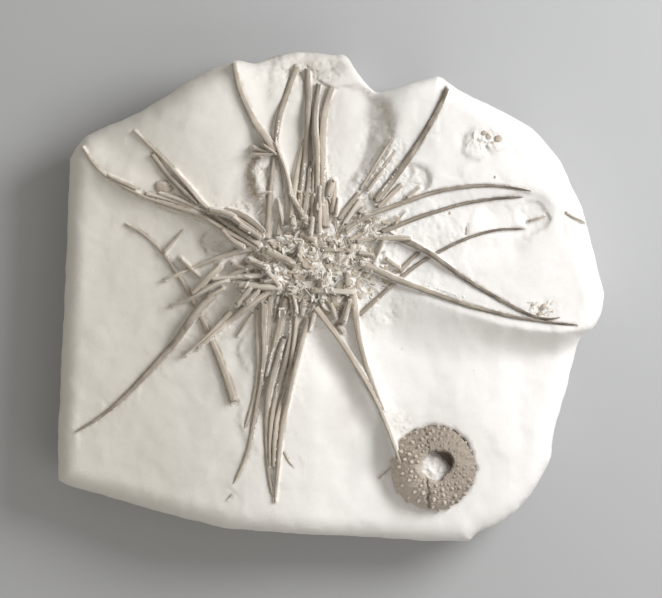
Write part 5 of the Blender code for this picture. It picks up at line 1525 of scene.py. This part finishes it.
def spine_material(grain, dust):
    """Spine calcite: grey-brown with fibres along it, paler on top as wear and painted highlight, paler where
    its table value is below zero, partly as painted light, and dusted with chalk.
    """
    material, tree, shader = blank_material("spine_calcite", 0.62)
    fibre = attribute(tree, "fibre", "Vector")
    streak = add_noise(tree, fibre, 1.3, 5.0, 0.65, stretch=(1.0, 1.0, 0.06))
    hair = add_noise(tree, fibre, 4.5, 3.0, 0.6, stretch=(1.0, 1.0, 0.05))
    line = add_noise(tree, fibre, 2.4, 3.0, 0.6, stretch=(1.0, 1.0, 0.04))
    blotch = add_noise(tree, fibre, 0.35, 3.0, 0.6, stretch=(1.0, 1.0, 0.4))
    tone = weighed(tree, streak, 0.7, add_noise(tree, fibre, 0.12, 3.0, 0.5), 0.45)
    top, skin_and_light = attribute(tree, "top"), attribute(tree, "brown")
    # wear and painted highlight: the upper side of each spine is mixed paler
    worn = span(tree, attribute(tree, "top"), 0.3, 1.0, 0.0, 0.2)
    brown = math_node(tree, "MULTIPLY", skin_and_light, span(tree, blotch, 0.35, 0.6, 0.6, 1.1))
    # paler where the value is below zero: partly chalk on the spine, partly painted light on spines that lie
    # in shade
    colour = coats(tree, (0.40, 0.345, 0.275),
                   (span(tree, tone, 0.42, 0.72), (0.635, 0.57, 0.485)),
                   (span(tree, hair, 0.45, 0.7, 0.0, 0.5), (0.24, 0.195, 0.145)),
                   (span(tree, line, 0.60, 0.66, 0.0, 0.6), (0.15, 0.118, 0.088)),
                   (worn, (0.64, 0.575, 0.49)),
                   (span(tree, brown, 0.0, 1.0, 0.0, 0.92), (0.075, 0.057, 0.041)),
                   (span(tree, skin_and_light, 0.0, -1.0), (0.80, 0.755, 0.68)))
    powder = use_group(tree, dust, Place=millimetres(tree), Colour=colour,
                       Amount=span(tree, top, -0.2, 0.6, 0.50, 0.30), Patch=1.3)
    tree.links.new(span(tree, powder["Mask"], 0.0, 1.0, 0.6, 0.95), shader.inputs["Roughness"])
    finish(tree, shader, powder["Colour"], math_node(tree, "ADD", hair, streak), 0.5, 0.25)
    return material


def plates_material(grain, dust):
    """Crushed plates: grey-brown faces, cracked and caked with chalk."""
    material, tree, shader = blank_material("crushed_plates", 0.85)
    place = millimetres(tree)
    fine = use_group(tree, grain, Place=place, Size=0.8)
    colour = blend_colours(tree, span(tree, fine["Mottle"], 0.35, 0.7),
                           (0.38, 0.32, 0.25), (0.58, 0.515, 0.435))
    tone = attribute(tree, "tone")
    amount = span(tree, tone, 0.0, 0.9, 0.28, 1.0)
    powder = use_group(tree, dust, Place=place, Colour=colour, Amount=amount, Patch=3.4)
    caked = span(tree, tone, 0.62, 0.85, 0.0, 0.85)
    colour = blend_colours(tree, caked, powder["Colour"], (0.80, 0.77, 0.72))
    finish(tree, shader, colour, fine["Height"], 0.6, 0.4)
    return material


def test_material(grain):
    """The small test: darker grainy calcite, paler to its lower left and darker to its upper right as painted
    light against the dome's shading, with painted highlights on its bosses and painted shade round them, dark
    in its cracks, and dark on its inner wall, partly as painted shade.
    """
    material, tree, shader = blank_material("test_calcite", 0.85)
    place = millimetres(tree)
    fine = use_group(tree, grain, Place=place, Size=0.6)
    broad = use_group(tree, grain, Place=place, Size=5.0)
    # painted light: the test is mixed paler towards its lower left, where the dome turns from the light, and
    # darker towards its upper right, which faces it
    across = tree.nodes.new("ShaderNodeVectorMath")
    across.operation = "DOT_PRODUCT"
    across.inputs[1].default_value = (-0.85, -0.5, 0.0)
    tree.links.new(place, across.inputs[0])
    side, boss = across.outputs["Value"], attribute(tree, "boss")
    # painted highlight on the bosses' tops and painted shade in the sunken rings round them
    speckle = span(tree, add_noise(tree, place, 0.9, 4.0, 0.75), 0.40, 0.60)
    ring = math_node(tree, "MULTIPLY", span(tree, boss, 0.05, -0.18, 0.0, 0.45), speckle)
    colour = coats(tree, (0.30, 0.25, 0.20),
                   (span(tree, fine["Mottle"], 0.3, 0.7), (0.50, 0.44, 0.37)),
                   (span(tree, broad["Mottle"], 0.4, 0.65, 0.0, 0.5), (0.45, 0.39, 0.325)),
                   (span(tree, side, -8.0, 16.0, 0.0, 0.75), (0.70, 0.62, 0.535)),
                   (span(tree, side, 4.0, -12.0, 0.0, 0.7), (0.27, 0.232, 0.192)),
                   (span(tree, boss, 0.08, 0.3, 0.0, 0.25), (0.58, 0.51, 0.43)),
                   (span(tree, boss, 0.5, 1.0, 0.0, 0.45), (0.64, 0.57, 0.485)),
                   (ring, (0.17, 0.137, 0.105)),
                   (span(tree, boss, -0.2, -0.7, 0.0, 0.6), (0.16, 0.125, 0.093)),
                   (span(tree, attribute(tree, "wall"), 0.0, 1.0, 0.0, 0.8), (0.17, 0.135, 0.105)))
    finish(tree, shader, colour, fine["Height"], 0.7, 0.45)
    return material


# ---------------------------------------------------------------- stage
def area_light(name, place, target, size, power, colour):
    light = bpy.data.lights.new(name, "AREA")
    light.shape = "DISK"
    light.size = size
    light.energy = power
    light.color = colour
    thing = bpy.data.objects.new(name, light)
    thing.location = place
    thing.rotation_euler = (Vector(target) - Vector(place)).to_track_quat("-Z", "Y").to_euler()
    bpy.context.scene.collection.objects.link(thing)


def stage_and_camera():
    """A plain pale floor, a soft light from the upper right and a camera straight above."""
    bpy.ops.mesh.primitive_plane_add(size=4.0, location=(0, 0, -0.0002))
    floor = bpy.context.object
    floor.name = "floor"
    material, _, shader = blank_material("floor", 0.9)
    shader.inputs["Base Color"].default_value = (0.42, 0.425, 0.43, 1.0)
    floor.data.materials.append(material)
    world = bpy.data.worlds.new("studio")
    world.use_nodes = True
    world.node_tree.nodes["Background"].inputs["Color"].default_value = (1.0, 0.965, 0.90, 1.0)
    world.node_tree.nodes["Background"].inputs["Strength"].default_value = 0.41
    bpy.context.scene.world = world
    area_light("key", (0.63, 0.33, 0.52), (0.02, 0.0, 0.03), 0.50, 8.25, (0.975, 0.98, 1.0))
    area_light("fill", (0.55, -0.65, 0.9), (0.0, 0.0, 0.03), 0.9, 2.2, (1.0, 0.99, 0.985))
    camera = bpy.data.cameras.new("camera")
    camera.sensor_width = 36.0
    camera.lens = 36.0 * (CAMERA_HEIGHT - FRAME_LEVEL) / FRAME_WIDTH
    camera.clip_end = 20.0
    thing = bpy.data.objects.new("camera", camera)
    thing.location = (AIM[0] * MM, AIM[1] * MM, CAMERA_HEIGHT * MM)
    bpy.context.scene.collection.objects.link(thing)
    bpy.context.scene.camera = thing
    bpy.context.scene.view_settings.view_transform = "Standard"


def main():
    """Lay the spines, make every piece and light the scene."""
    grain, dust = grain_group(), chalk_dust_group()
    chalk = chalk_material(grain)
    calcite = spine_material(grain, dust)
    plates = plates_material(grain, dust)
    shell = test_material(grain)
    spines = [(bundle if len(members) == 1 else f"{bundle}_{number}", *member)
              for bundle, members in SPINES for number, member in enumerate(members, 1)]
    plans = squeeze(spine_plans([spine[1:] for spine in spines]))
    for spine, plan in zip(spines, plans):
        plan[:, :2] = smoothed(plan[:, :2], int(PLAN_EASE / SPINE_FINE))
        plan[:, 2] *= 1.0 if spine[0].startswith(("east", "centre")) else SWELLING
    laid = []
    rows = lie_down(plans, laid)
    short_rows = lie_down(spine_plans(FRAGMENTS), laid)
    stage_and_camera()
    chalk_block(laid, chalk)
    for index, (spine, row) in enumerate(zip(spines, rows)):
        spine_piece(spine[0], row, index + 1, spine[3:5], calcite)
    small_spines(short_rows, calcite)
    heap(laid, plates)
    small_test(shell)
    opening_fill(chalk)
    scatter_chips(laid, plates, chalk)
    chalk_seams(laid, chalk)
    encrusting(laid, plates)


main()
